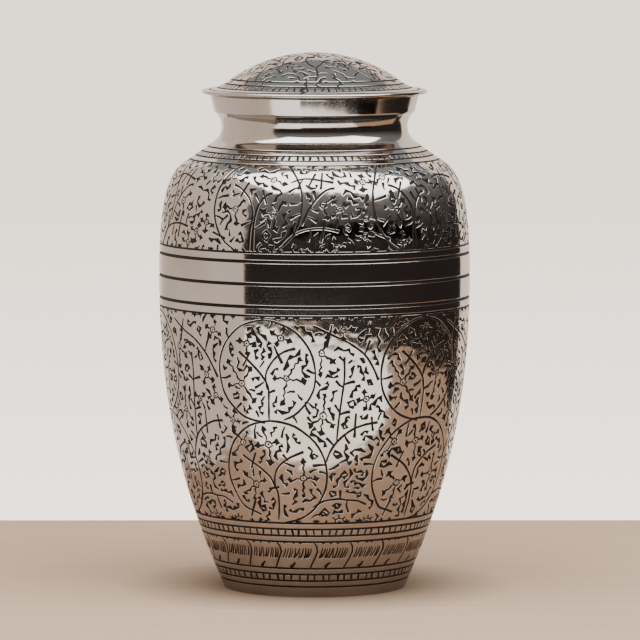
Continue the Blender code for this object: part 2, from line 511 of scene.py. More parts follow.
def winding(points: np.ndarray, polygon: np.ndarray) -> np.ndarray:
    """How often a polygon turns round each point."""
    start, end = polygon, np.roll(polygon, -1, axis=0)
    x, y = points[:, :1], points[:, 1:]
    left = ((end[:, 0] - start[:, 0]) * (y - start[:, 1])
            - (x - start[:, 0]) * (end[:, 1] - start[:, 1]))
    rising = (start[:, 1] <= y) & (end[:, 1] > y) & (left > 0)
    falling = (start[:, 1] > y) & (end[:, 1] <= y) & (left < 0)
    return rising.sum(axis=1) - falling.sum(axis=1)


def covered(points: np.ndarray, polygons: Iterable[np.ndarray]) -> np.ndarray:
    """Whether each point lies inside any of the polygons."""
    order = np.argsort(points[:, 0])
    across = points[order, 0]
    inside = np.zeros(len(points), dtype=bool)
    for polygon in polygons:
        if len(polygon) < 3:
            continue
        low, high = polygon.min(axis=0), polygon.max(axis=0)
        first, last = np.searchsorted(across, (low[0], high[0]))
        near = order[first:last]
        height = points[near, 1]
        near = near[(height >= low[1]) & (height <= high[1]) & ~inside[near]]
        if len(near):
            inside[near] = winding(points[near], polygon) != 0
    return inside


def clipped(polygon: np.ndarray, axis: int, limit: float, sign: int) -> np.ndarray:
    """Cut off what a polygon has beyond a limit.

    Args:
        polygon: The polygon's corners.
        axis: Axis of the limit, 0 for u and 1 for v.
        limit: The limit.
        sign: 1 to keep what lies above it, -1 to keep what lies below.

    Returns:
        The corners that are left.
    """
    kept = []
    for start, end in zip(polygon, np.roll(polygon, -1, axis=0)):
        before, after = start[axis] - limit, end[axis] - limit
        if sign * before >= 0:
            kept.append(start)
        if (sign * before >= 0) != (sign * after >= 0):
            crossing = start + (end - start) * (before / (before - after))
            crossing[axis] = limit
            kept.append(crossing)
    return np.array(kept).reshape(-1, 2)


class Finish(IntEnum):
    """Material slots of an engraved piece."""

    METAL = 0
    BLACK = 1


class Shell:
    """Faces of one closed piece, gathered from its turned and engraved parts."""

    def __init__(self) -> None:
        """Start empty."""
        self.points = np.zeros((0, 3))
        self.groups: list[tuple[np.ndarray, np.ndarray, np.ndarray]] = []

    def add(self, points: np.ndarray,
            groups: Sequence[tuple[np.ndarray, np.ndarray, np.ndarray]]) -> None:
        """Add a part, sharing the points that it has in common with the piece.

        Args:
            points: Points of the part.
            groups: Faces of one size each, their corner normals, and their finish.
        """
        index = np.arange(len(points)) + len(self.points)
        new = np.ones(len(points), dtype=bool)
        if len(self.points):
            tree = kdtree.KDTree(len(self.points))
            for place, point in enumerate(self.points):
                tree.insert(point, place)
            tree.balance()
            for place, point in enumerate(points):
                _, match, gap = tree.find(point)
                if gap < WELD:
                    index[place] = match
                    new[place] = False
            index[new] = np.arange(new.sum()) + len(self.points)
        self.points = np.vstack((self.points, points[new]))
        for faces, normals, finish in groups:
            self.groups.append((index[faces], normals, finish))

    def build(self, name: str, materials: Sequence[bpy.types.Material]) -> bpy.types.Object:
        """Make the piece.

        Args:
            name: Its name.
            materials: One material for each finish.

        Returns:
            The new object, at the origin and in metres.
        """
        sizes = np.concatenate([np.full(len(faces), faces.shape[1])
                                for faces, _, _ in self.groups])
        corners = np.concatenate([faces.ravel() for faces, _, _ in self.groups])
        normals = np.concatenate([group[1].reshape(-1, 3) for group in self.groups])
        finish = np.concatenate([group[2] for group in self.groups])
        mesh = bpy.data.meshes.new(name)
        mesh.vertices.add(len(self.points))
        mesh.vertices.foreach_set("co", (self.points * MM).astype(np.float32).ravel())
        mesh.loops.add(len(corners))
        mesh.loops.foreach_set("vertex_index", corners.astype(np.int32))
        mesh.polygons.add(len(sizes))
        starts = np.concatenate(([0], np.cumsum(sizes)[:-1]))
        mesh.polygons.foreach_set("loop_start", starts.astype(np.int32))
        mesh.polygons.foreach_set("material_index", finish.astype(np.int32))
        mesh.update(calc_edges=True)
        mesh.polygons.foreach_set("use_smooth", np.ones(len(sizes), dtype=bool))
        mesh.normals_split_custom_set(normals.tolist())
        for material in materials:
            mesh.materials.append(material)
        piece = bpy.data.objects.new(name, mesh)
        bpy.context.scene.collection.objects.link(piece)
        uses = np.zeros(len(mesh.edges), dtype=int)
        edge_index = np.zeros(len(mesh.loops), dtype=np.int32)
        mesh.loops.foreach_get("edge_index", edge_index)
        np.add.at(uses, edge_index, 1)
        LOG.info("%s: %d triangles, %d edges not shared by two faces", name,
                 int((sizes - 2).sum()), int((uses != 2).sum()))
        return piece


class Sheet:
    """A flat sheet of the outside that is engraved and then wrapped on the outline."""

    depth: float = 0.34
    lip_drop: float = 0.05
    wall_lean: float = 0.07
    lip_tilt: float = math.radians(29)
    step: float = 2.9
    turn: float = math.radians(4.5)

    def __init__(self, wrap: Round | Cap, rings: Sequence[RingGroove]) -> None:
        """Keep how the sheet wraps and its ring grooves."""
        self.wrap = wrap
        self.rings = list(rings)
        self.strokes: list[Stroke] = []

    def level(self, points: np.ndarray) -> np.ndarray:
        """Coordinate across the ring grooves."""
        raise NotImplementedError

    def guides(self) -> tuple[list[np.ndarray], list[np.ndarray]]:
        """Lines that bound or cross the sheet, and the loose points of its grid."""
        raise NotImplementedError

    def ring_levels(self) -> list[float]:
        """Levels at which a ring groove or its worn edge begins or ends."""
        return [ring.place + sign * (ring.width / 2 + grow)
                for ring in self.rings for sign in (-1, 1) for grow in (0.0, EDGE)]

    def on_end(self, points: np.ndarray) -> np.ndarray:
        """Whether each point lies where the sheet ends in a groove."""
        return np.zeros(len(points), dtype=bool)

    def in_rings(self, points: np.ndarray, grow: float) -> np.ndarray:
        """Whether each point lies in a ring groove, or within a distance of one."""
        level = self.level(points)
        inside = np.zeros(len(points), dtype=bool)
        for ring in self.rings:
            inside |= np.abs(level - ring.place) < ring.width / 2 + grow
        return inside

    def all_strokes(self) -> list[Stroke]:
        """The strokes, with copies where the sheet closes on itself."""
        return self.strokes

    def triangulate(self) -> tuple[np.ndarray, np.ndarray]:
        """Cut the sheet along its strokes.

        Returns:
            Points of the sheet and its triangles.
        """
        strokes = self.all_strokes()
        lines, loose = self.guides()
        points, edges = [], []
        for line in lines:
            edges += [(len(points) + at, len(points) + at + 1)
                      for at in range(len(line) - 1)]
            points += line.tolist()
        for stroke in strokes:
            for outline in (stroke.cut, stroke.edge):
                count = len(outline)
                if count < 3:
                    continue
                edges += [(len(points) + at, len(points) + (at + 1) % count)
                          for at in range(count)]
                points += outline.tolist()
        grid = np.vstack(loose)
        free = ~covered(grid, [stroke.edge for stroke in strokes])
        free &= ~self.in_rings(grid, EDGE)
        points += grid[free].tolist()
        made = geometry.delaunay_2d_cdt([Vector(point) for point in points], edges, [],
                                        0, 1e-4, False)
        return (np.array([tuple(point) for point in made[0]], dtype=float),
                np.array([tuple(face) for face in made[2]], dtype=int))

    def trimmed(self, points: np.ndarray, faces: np.ndarray
                ) -> tuple[np.ndarray, np.ndarray]:
        """Faces inside the sheet, and the point that each point is welded to."""
        return faces, np.arange(len(points))

    def part(self) -> tuple[np.ndarray, list[tuple[np.ndarray, np.ndarray, np.ndarray]]]:
        """Engrave the sheet and wrap it.

        Returns:
            Points in space, and groups of faces with corner normals and finish.
        """
        sheet, faces = self.triangulate()
        faces, weld = self.trimmed(sheet, faces)
        middle = sheet[faces].mean(axis=1)
        strokes = self.all_strokes()
        groove = covered(middle, [stroke.cut for stroke in strokes])
        groove |= self.in_rings(middle, 0.0)
        worn = ~groove & (covered(middle, [stroke.edge for stroke in strokes])
                          | self.in_rings(middle, EDGE))

        sunk = faces[groove]
        sides = np.stack((sunk, np.roll(sunk, -1, axis=1)), axis=-1).reshape(-1, 2)
        key = weld[sides[:, 0]] * len(sheet) + weld[sides[:, 1]]
        back = weld[sides[:, 1]] * len(sheet) + weld[sides[:, 0]]
        rim = sides[~np.isin(key, back)]
        rim = rim[~self.on_end(sheet[rim[:, 0]]) | ~self.on_end(sheet[rim[:, 1]])]
        ahead = (sheet[rim[:, 1]] - sheet[rim[:, 0]]) * self.wrap.scale(sheet[rim[:, 0]])
        ahead /= np.maximum(np.linalg.norm(ahead, axis=1, keepdims=True), 1e-9)
        inward = np.column_stack((-ahead[:, 1], ahead[:, 0]))
        lean = np.zeros_like(sheet)
        for end in (0, 1):
            np.add.at(lean, weld[rim[:, end]], inward)
        lean /= np.maximum(np.linalg.norm(lean, axis=1, keepdims=True), 1e-9)
        lip = np.zeros(len(sheet), dtype=bool)
        lip[weld[rim].ravel()] = True

        home = self.wrap.place(sheet)
        normal = self.wrap.normals(sheet)
        toward = self.wrap.lift(sheet, lean)
        depth = np.full(len(sheet), self.depth)
        level = self.level(sheet)
        for ring in self.rings:
            depth[np.abs(level - ring.place) < ring.width / 2 + WELD] = ring.depth
        top = home - normal * (lip * self.lip_drop)[:, None]
        floor = home - normal * depth[:, None] + toward * (lip * self.wall_lean)[:, None]
        tilted = (normal * math.cos(self.lip_tilt)
                  + toward * (lip * math.sin(self.lip_tilt))[:, None])
        tilted /= np.linalg.norm(tilted, axis=1, keepdims=True)

        points = np.vstack((top, floor))
        land = weld[faces[~groove & ~worn]]
        edge = weld[faces[worn]]
        base = weld[sunk]
        start, end = weld[rim[:, 0]], weld[rim[:, 1]]
        wall = np.column_stack((start, end, end + len(sheet), start + len(sheet)))
        facing = np.cross(points[wall[:, 2]] - points[wall[:, 0]],
                          points[wall[:, 3]] - points[wall[:, 1]])
        size = np.linalg.norm(facing, axis=1, keepdims=True)
        facing = np.where(size > 1e-9, facing / np.maximum(size, 1e-9), normal[wall[:, 0]])
        worn_normal = np.where(lip[edge][..., None], tilted[edge], normal[edge])
        groups = [
            (land, normal[land], np.full(len(land), Finish.METAL)),
            (edge, worn_normal, np.full(len(edge), Finish.METAL)),
            (base + len(sheet), normal[base], np.full(len(base), Finish.BLACK)),
            (wall, np.repeat(facing[:, None, :], 4, axis=1),
             np.full(len(wall), Finish.BLACK)),
        ]
        used = np.unique(np.concatenate([group[0].ravel() for group in groups]))
        renumber = np.zeros(len(points), dtype=int)
        renumber[used] = np.arange(len(used))
        return points[used], [(renumber[faces], normals, finish)
                              for faces, normals, finish in groups]


class RoundSheet(Sheet):
    """A sheet that goes all the way round the body."""

    wrap: Round

    def __init__(self, wrap: Round, rings: Sequence[RingGroove], start: float,
                 end: float) -> None:
        """Keep the lengths between which the sheet covers the outline."""
        super().__init__(wrap, rings)
        self.start, self.end = start, end

    def level(self, points: np.ndarray) -> np.ndarray:
        """Length along the outline."""
        return points[:, 1]

    def on_end(self, points: np.ndarray) -> np.ndarray:
        """Whether each point lies on the first or last ring."""
        return ((np.abs(points[:, 1] - self.start) < ON_LINE)
                | (np.abs(points[:, 1] - self.end) < ON_LINE))

    def guides(self) -> tuple[list[np.ndarray], list[np.ndarray]]:
        """Both ends, both sides of the seam and the ring grooves, and a grid."""
        rows = self.wrap.outline.rows(self.start, self.end, self.step, self.turn)
        across = np.linspace(0.0, self.wrap.around, COLUMNS + 1)
        levels = [level for level in self.ring_levels() if self.start < level < self.end]
        lines = [np.column_stack((across, np.full(COLUMNS + 1, level)))
                 for level in (self.start, self.end, *levels)]
        upright = np.unique(np.concatenate((rows, levels)))
        lines += [np.column_stack((np.full(len(upright), side), upright))
                  for side in (0.0, self.wrap.around)]
        grid = [np.column_stack((across[1:-1], np.full(COLUMNS - 1, row)))
                for row in rows[1:-1]]
        return lines, grid

    def all_strokes(self) -> list[Stroke]:
        """The strokes, and copies of those near the seam on its other side."""
        around = self.wrap.around
        copies = []
        for stroke in self.strokes:
            low, high = stroke.edge[:, 0].min(), stroke.edge[:, 0].max()
            if low > 0 and high < around:
                copies.append(stroke)
                continue
            shift = -around * math.floor(low / around)
            for edge, sign, move in ((around, -1, shift), (around, 1, shift)):
                halves = []
                for outline in (stroke.cut, stroke.edge):
                    half = clipped(outline + (move, 0.0), 0, edge, sign)
                    halves.append(half - (around if sign == 1 else 0.0, 0.0))
                if len(halves[1]) > 2:
                    copies.append(Stroke(*halves))
        return copies

    def trimmed(self, points: np.ndarray, faces: np.ndarray
                ) -> tuple[np.ndarray, np.ndarray]:
        """Drop what lies beyond the seam or the ends, and weld the seam."""
        middle = points[faces].mean(axis=1)
        faces = faces[(middle[:, 0] > 0) & (middle[:, 0] < self.wrap.around)
                      & (middle[:, 1] > self.start) & (middle[:, 1] < self.end)]
        weld = np.arange(len(points))
        used = np.zeros(len(points), dtype=bool)
        used[faces.ravel()] = True
        left = np.flatnonzero(used & (np.abs(points[:, 0]) < ON_LINE))
        right = np.flatnonzero(used & (np.abs(points[:, 0] - self.wrap.around) < ON_LINE))
        gap = np.abs(points[right, 1][:, None] - points[left, 1][None, :])
        weld[right] = left[np.argmin(gap, axis=1)]
        if len(left) != len(right) or gap.min(axis=1).max() > 0.002:
            LOG.warning("seam: %d points on one side, %d on the other, %.4f apart",
                        len(left), len(right), gap.min(axis=1).max())
        return faces, weld


class DiscSheet(Sheet):
    """A round sheet that covers a dome from its top down to one ring."""

    wrap: Cap

    def __init__(self, wrap: Cap, rings: Sequence[RingGroove], reach: float) -> None:
        """Keep the distance from the top to the outer ring."""
        super().__init__(wrap, rings)
        self.reach = reach

    def level(self, points: np.ndarray) -> np.ndarray:
        """Distance from the top."""
        return np.hypot(*points.T)

    @staticmethod
    def circle(radius: float, count: int, closed: bool) -> np.ndarray:
        """Points round the middle, the first one again at the end if closed."""
        angle = math.tau * (np.arange(count + int(closed)) % count) / count
        return radius * np.column_stack((np.sin(angle), -np.cos(angle)))

    def guides(self) -> tuple[list[np.ndarray], list[np.ndarray]]:
        """The outer ring and the ring grooves, and rings of loose points."""
        lines = [self.circle(level, COLUMNS, True)
                 for level in (self.reach, *self.ring_levels())]
        total = self.wrap.outline.total
        rows = total - self.wrap.outline.rows(total - self.reach, total, self.step,
                                              self.turn)
        grid = [self.circle(row, max(8, round(math.tau * row / self.step)), False)
                for row in rows[1:-1]]
        return lines, [*grid, np.zeros((1, 2))]


# The lathe and the stroke rows, in Geometry Nodes

def link_chain(tree: bpy.types.NodeTree, *sockets: tuple[bpy.types.NodeSocket,
                                                          bpy.types.NodeSocket]) -> None:
    """Link each pair of sockets, the giving one first."""
    for giving, taking in sockets:
        tree.links.new(giving, taking)


def add_node(tree: bpy.types.NodeTree, kind: str,
             values: dict[str | int, object] | None = None, **settings: object
             ) -> bpy.types.Node:
    """Add a node to a tree.

    Args:
        tree: The tree.
        kind: Which node.
        values: Values of its inputs, by name or number.
        **settings: Its properties, which are set before the inputs.

    Returns:
        The node.
    """
    made = tree.nodes.new(kind)
    for label, setting in settings.items():
        setattr(made, label, setting)
    for label, value in (values or {}).items():
        made.inputs[label].default_value = value
    return made


def open_socket(sockets: Iterable[bpy.types.NodeSocket], name: str) -> bpy.types.NodeSocket:
    """The socket of that name that the node's settings leave in use."""
    return next(socket for socket in sockets if socket.name == name and socket.enabled)


class NodesTool:
    """A Geometry Nodes tree with named inputs that turns one mesh into another."""

    name: str = ""
    inputs: tuple[tuple[str, str], ...] = ()

    def __init__(self) -> None:
        """Build the tree."""
        self.tree = bpy.data.node_groups.new(self.name, "GeometryNodeTree")
        self.tree.is_modifier = True
        self.tree.interface.new_socket(name="Geometry", in_out="INPUT",
                                       socket_type="NodeSocketGeometry")
        for label, kind in self.inputs:
            self.tree.interface.new_socket(name=label, in_out="INPUT", socket_type=kind)
        self.tree.interface.new_socket(name="Geometry", in_out="OUTPUT",
                                       socket_type="NodeSocketGeometry")
        self.wire()

    def node(self, kind: str, **settings: object) -> bpy.types.Node:
        """Add a node and set its properties."""
        return add_node(self.tree, kind, **settings)

    def maths(self, operation: str, first: bpy.types.NodeSocket | float,
              second: bpy.types.NodeSocket | float = 0.0) -> bpy.types.NodeSocket:
        """Add a Math node.

        Args:
            operation: What it does.
            first: First value or the socket that gives it.
            second: Second value or the socket that gives it.

        Returns:
            The node's output.
        """
        made = self.node("ShaderNodeMath", operation=operation)
        for socket, value in zip(made.inputs, (first, second)):
            if isinstance(value, bpy.types.NodeSocket):
                self.tree.links.new(value, socket)
            else:
                socket.default_value = value
        return made.outputs[0]

    def wire(self) -> None:
        """Add and link the tree's nodes."""
        raise NotImplementedError

    def run(self, mesh: bpy.types.Mesh, **values: object) -> bpy.types.Mesh:
        """Run the tree on a mesh.

        Args:
            mesh: The mesh that goes in. It is removed afterwards.
            **values: The named inputs, with underscores for spaces.

        Returns:
            A plain mesh.
        """
        carrier = bpy.data.objects.new("carrier", mesh)
        bpy.context.scene.collection.objects.link(carrier)
        modifier = carrier.modifiers.new(self.name, "NODES")
        modifier.node_group = self.tree
        identifiers = {item.name: item.identifier
                       for item in self.tree.interface.items_tree
                       if item.in_out == "INPUT"}
        for label, value in values.items():
            modifier[identifiers[label.replace("_", " ").capitalize()]] = value
        graph = bpy.context.evaluated_depsgraph_get()
        result = bpy.data.meshes.new_from_object(carrier.evaluated_get(graph))
        bpy.data.objects.remove(carrier)
        bpy.data.meshes.remove(mesh)
        return result


class Lathe(NodesTool):
    """Sweeps a profile of (radius, 0, height) round the axis."""

    name = "lathe"
    inputs = (("Columns", "NodeSocketInt"), ("Rings", "NodeSocketInt"),
              ("Metal", "NodeSocketMaterial"))

    def wire(self) -> None:
        """Lay a grid on the rings of the profile and close it on itself."""
        given = self.node("NodeGroupInput")
        grid = self.node("GeometryNodeMeshGrid")
        index = self.node("GeometryNodeInputIndex").outputs[0]
        where = self.node("GeometryNodeInputPosition").outputs[0]
        column = self.maths("FLOOR", self.maths("DIVIDE", index, given.outputs["Rings"]))
        row = self.maths("MODULO", index, given.outputs["Rings"])
        turn = self.maths("DIVIDE", column, given.outputs["Columns"])
        angle = self.maths("MULTIPLY", turn, math.tau)
        sample = self.node("GeometryNodeSampleIndex", data_type="FLOAT_VECTOR")
        split = self.node("ShaderNodeSeparateXYZ")
        join = self.node("ShaderNodeCombineXYZ")
        move = self.node("GeometryNodeSetPosition")
        merge = self.node("GeometryNodeMergeByDistance")
        merge.inputs["Distance"].default_value = 1e-3
        realise = self.node("GeometryNodeRealizeInstances")
        dress = self.node("GeometryNodeSetMaterial")
        out = self.node("NodeGroupOutput")
        radius = split.outputs[0]
        link_chain(
            self.tree,
            (self.maths("ADD", given.outputs["Columns"], 1.0), grid.inputs["Vertices X"]),
            (given.outputs["Rings"], grid.inputs["Vertices Y"]),
            (given.outputs["Geometry"], sample.inputs["Geometry"]),
            (where, open_socket(sample.inputs, "Value")),
            (row, sample.inputs["Index"]),
            (open_socket(sample.outputs, "Value"), split.inputs[0]),
            (self.maths("MULTIPLY", radius, self.maths("SINE", angle)), join.inputs[0]),
            (self.maths("MULTIPLY", radius, self.maths(
                "MULTIPLY", self.maths("COSINE", angle), -1.0)), join.inputs[1]),
            (split.outputs[2], join.inputs[2]),
            (grid.outputs["Mesh"], move.inputs["Geometry"]),
            (join.outputs[0], move.inputs["Position"]),
            (move.outputs[0], merge.inputs["Geometry"]),
            (merge.outputs[0], realise.inputs[0]),
            (realise.outputs[0], dress.inputs["Geometry"]),
            (given.outputs["Metal"], dress.inputs["Material"]),
            (dress.outputs[0], out.inputs[0]))

    def turn(self, profile: np.ndarray, sharp: float = math.radians(24)
             ) -> tuple[np.ndarray, list[tuple[np.ndarray, np.ndarray, np.ndarray]]]:
        """Turn a profile.

        Args:
            profile: Radius and height of each ring, in millimetres.
            sharp: Turn between two faces from which their edge stays crisp.

        Returns:
            Points in millimetres, and groups of faces with corner normals and finish.
        """
        mesh = bpy.data.meshes.new("profile")
        mesh.from_pydata([(radius, 0.0, height) for radius, height in profile.tolist()],
                         [], [])
        turned = self.run(mesh, columns=COLUMNS, rings=len(profile))
        turned.polygons.foreach_set("use_smooth", np.ones(len(turned.polygons), bool))
        turned.set_sharp_from_angle(angle=sharp)
        points = np.zeros(len(turned.vertices) * 3)
        turned.vertices.foreach_get("co", points)
        normals = np.zeros(len(turned.loops) * 3)
        turned.corner_normals.foreach_get("vector", normals)
        normals = normals.reshape(-1, 3)
        groups = []
        for size in (3, 4):
            faces = [face for face in turned.polygons if face.loop_total == size]
            if faces:
                corners = np.array([face.vertices for face in faces])
                loops = np.array([face.loop_indices for face in faces])
                groups.append((corners, normals[loops],
                               np.full(len(faces), Finish.METAL)))
        bpy.data.meshes.remove(turned)
        return points.reshape(-1, 3), groups


class StrokeRow(NodesTool):
    """Repeats one stencil along a line, each with a lean and a length of its own."""

    name = "row of strokes"
    inputs = (("Count", "NodeSocketInt"), ("Pitch", "NodeSocketFloat"),
              ("Lean", "NodeSocketFloat"), ("Spread", "NodeSocketFloat"),
              ("Seed", "NodeSocketInt"), ("Metal", "NodeSocketMaterial"))

    def random(self, low: bpy.types.NodeSocket | float,
               high: bpy.types.NodeSocket | float, seed: bpy.types.NodeSocket
               ) -> bpy.types.NodeSocket:
        """Add a Random Value node and return its output."""
        made = self.node("FunctionNodeRandomValue", data_type="FLOAT")
        for label, value in (("Min", low), ("Max", high)):
            socket = open_socket(made.inputs, label)
            if isinstance(value, bpy.types.NodeSocket):
                self.tree.links.new(value, socket)
            else:
                socket.default_value = value
        self.tree.links.new(seed, made.inputs["Seed"])
        return open_socket(made.outputs, "Value")

    def wire(self) -> None:
        """Put the stencil on the points of a line."""
        given = self.node("NodeGroupInput")
        line = self.node("GeometryNodeMeshLine")
        offset = self.node("ShaderNodeCombineXYZ")
        turn = self.node("ShaderNodeCombineXYZ")
        size = self.node("ShaderNodeCombineXYZ")
        shift = self.node("ShaderNodeCombineXYZ")
        jitter = self.node("GeometryNodeSetPosition")
        put = self.node("GeometryNodeInstanceOnPoints")
        realise = self.node("GeometryNodeRealizeInstances")
        dress = self.node("GeometryNodeSetMaterial")
        out = self.node("NodeGroupOutput")
        seed = given.outputs["Seed"]
        lean = given.outputs["Lean"]
        spread = given.outputs["Spread"]
        step = self.maths("MULTIPLY", spread, given.outputs["Pitch"])
        size.inputs[2].default_value = 1.0
        link_chain(
            self.tree,
            (given.outputs["Pitch"], offset.inputs[0]),
            (given.outputs["Count"], line.inputs["Count"]),
            (offset.outputs[0], line.inputs["Offset"]),
            (self.random(self.maths("MULTIPLY", step, -1.0), step, seed),
             shift.inputs[0]),
            (line.outputs[0], jitter.inputs["Geometry"]),
            (shift.outputs[0], jitter.inputs["Offset"]),
            (jitter.outputs[0], put.inputs["Points"]),
            (given.outputs["Geometry"], put.inputs["Instance"]),
            (self.random(self.maths("MULTIPLY", lean, -1.0), lean,
                         self.maths("ADD", seed, 7.0)), turn.inputs[2]),
            (turn.outputs[0], put.inputs["Rotation"]),
            (self.random(0.8, 1.3, self.maths("ADD", seed, 13.0)), size.inputs[0]),
            (self.random(self.maths("SUBTRACT", 1.0, spread), 1.0,
                         self.maths("ADD", seed, 21.0)), size.inputs[1]),
            (size.outputs[0], put.inputs["Scale"]),
            (put.outputs[0], realise.inputs[0]),
            (realise.outputs[0], dress.inputs["Geometry"]),
            (given.outputs["Metal"], dress.inputs["Material"]),
            (dress.outputs[0], out.inputs[0]))

    def strokes(self, stencil: Stroke, count: int, pitch: float, lean: float,
                spread: float, seed: int) -> list[Stroke]:
        """Repeat a stroke.

        Args:
            stencil: The stroke, round the origin.
            count: How many there are.
            pitch: Distance between two of them.
            lean: Largest turn of one, in radians.
            spread: How far place and length vary, as a share.
            seed: Seed for the variation.

        Returns:
            The strokes, in a row from the origin along the first axis.
        """
        sets = []
        for outline in (stencil.cut, stencil.edge):
            mesh = bpy.data.meshes.new("stencil")
            mesh.from_pydata([(x, y, 0.0) for x, y in outline.tolist()], [],
                             [range(len(outline))])
            row = self.run(mesh, count=count, pitch=pitch, lean=lean, spread=spread,
                           seed=seed)
            sets.append([np.array([row.vertices[corner].co[:2]
                                   for corner in face.vertices], dtype=float)
                         for face in row.polygons])
            bpy.data.meshes.remove(row)
        return [Stroke(cut, edge) for cut, edge in zip(*sets)]


# Graver's work

class Mark(Enum):
    """Small marks that fill the ground between the stems."""

    FLOWER = "flower"
    SCRAWL = "scrawl"
    CLUB = "club"


class Graver:
    """Cuts strokes into a sheet, in true millimetres round a working centre."""

    cell: float = 4.0
    aims: int = 8
    scrawl_room: float = 1.08

    def __init__(self, sheet: Sheet, seed: int) -> None:
        """Keep the sheet and the hand's own irregularity."""
        self.sheet = sheet
        self.hand = random.Random(seed)
        self.project: Callable[[np.ndarray], np.ndarray] = lambda points: points
        self.limits: tuple[float, float] | None = None
        self.marks: dict[tuple[int, int], list[Point]] = defaultdict(list)

    def cut(self, stroke: Stroke) -> None:
        """Put one stroke on the sheet, kept between the limits."""
        outlines = []
        for outline in (stroke.cut, stroke.edge):
            outline = self.project(outline)
            if self.limits:
                outline = clipped(outline, 1, self.limits[0], 1)
                if len(outline) > 2:
                    outline = clipped(outline, 1, self.limits[1], -1)
            if len(outline) < 3:
                return
            outlines.append(outline)
        self.sheet.strokes.append(Stroke(*outlines))
        outline = outlines[0]
        for start, end in zip(outline, np.roll(outline, -1, axis=0)):
            count = 1 + int(np.hypot(*(end - start)))
            for part in range(count):
                x, y = start + (end - start) * part / count
                self.marks[int(x // self.cell), int(y // self.cell)].append((x, y))

    def clearance(self, place: np.ndarray) -> float:
        """Distance from a place on the sheet to the nearest cut, up to one cell."""
        across = float(self.sheet.wrap.scale(place[None])[0, 0])
        column, row = (int(value // self.cell) for value in place)
        best = self.cell * across
        for i in (column - 1, column, column + 1):
            for j in (row - 1, row, row + 1):
                for x, y in self.marks.get((i, j), ()):
                    best = min(best, math.hypot((x - place[0]) * across, y - place[1]))
        return best

    def stem(self, points: Sequence[Point], width: float = 0.98, end: float = 1.35,
             step: float = 2.4) -> None:
        """Cut a long smooth stem that widens at its end.

        Args:
            points: Points that it passes.
            width: Its width along most of the way.
            end: Its width at the end.
            step: Distance between the points of its outline.
        """
        wobble = self.hand.uniform
        line = smooth([(x + wobble(-0.2, 0.2), y + wobble(-0.2, 0.2))
                       for x, y in points], step)
        gone = np.concatenate(([0.0], np.cumsum(np.hypot(*np.diff(line, axis=0).T))))
        left = gone[-1] - gone
        widths = width * np.array([wobble(0.86, 1.12) for _ in line])
        widths *= np.interp(gone, (0.0, 3.0), (0.6, 1.0))
        widths += (end - width) * np.interp(left, (0.0, 4.5), (1.0, 0.0))
        self.cut(ribbon(line, widths))

    def club(self, root: Point, tip: Point, end: float = 1.4, start: float = 0.55) -> None:
        """Cut a short stroke that starts fine and ends broad and blunt."""
        root_at, tip_at = np.array(root, float), np.array(tip, float)
        ahead = tip_at - root_at
        side = np.array((-ahead[1], ahead[0])) * self.hand.uniform(-0.12, 0.12)
        line = np.vstack((root_at, root_at + ahead * 0.45 + side, tip_at))
        self.cut(ribbon(line, np.array((start, start + (end - start) * 0.55, end))
                        * self.hand.uniform(0.9, 1.1)))

    def tick(self, first: Point, second: Point, width: float = 1.2) -> None:
        """Cut a straight bar across a stem."""
        self.cut(ribbon(np.array((first, second), float),
                        width * np.array((0.75, self.hand.uniform(0.8, 1.15)))))

    def jagged(self, first: np.ndarray, second: np.ndarray) -> np.ndarray:
        """A line that goes from side to side in short pushes."""
        ahead = second - first
        length = float(np.hypot(*ahead))
        count = max(2, round(length / 1.7))
        side = np.array((-ahead[1], ahead[0])) / max(length, 1e-6)
        turn = self.hand.choice((-1, 1))
        line = [first]
        for part in range(1, count):
            off = turn * (-1) ** part * self.hand.uniform(0.15, 0.6)
            line.append(first + ahead * (part + self.hand.uniform(-0.2, 0.2)) / count
                        + side * off)
        return np.array([*line, second])

    def ragged(self, first: float, last: float, size: float, corners: int
               ) -> tuple[np.ndarray, np.ndarray]:
        """Directions and reaches of a leaf's corners, short and long by turns."""
        uniform = self.hand.uniform
        angles = np.linspace(first, last, corners)
        step = (last - first) / max(1, corners - 1)
        angles = angles + step * np.array([uniform(-0.28, 0.28) for _ in angles])
        reach = np.array([uniform(0.5, 1.1) if place % 2 else uniform(0.3, 0.62)
                          for place in range(corners)])
        return angles, np.maximum(size * reach, 0.3)

    def arm(self, root: np.ndarray, end: np.ndarray, size: float,
            width: float = 0.85) -> None:
        """Cut a jagged line with a ragged leaf at its end, in one piece.

        Args:
            root: Where it starts.
            end: Middle of the leaf.
            size: Reach of the leaf's longest spikes.
            width: Width of the line.
        """
        line = self.jagged(root, end)
        ahead = line[-1] - line[-2]
        heading = math.atan2(ahead[1], ahead[0])
        widths = width * np.array([self.hand.uniform(0.65, 1.5) for _ in line])
        widths[0] *= 0.7
        angles, reach = self.ragged(heading - 2.5, heading + 2.5, size, 7)
        self.cut(sprouting(line, widths, angles, reach))

    def leaf(self, centre: np.ndarray, size: float) -> None:
        """Cut a ragged leaf that stands alone."""
        first = self.hand.uniform(0.0, math.tau)
        angles, reach = self.ragged(first, first + math.tau * 7 / 8, size, 8)
        self.cut(patch(centre, angles, reach))

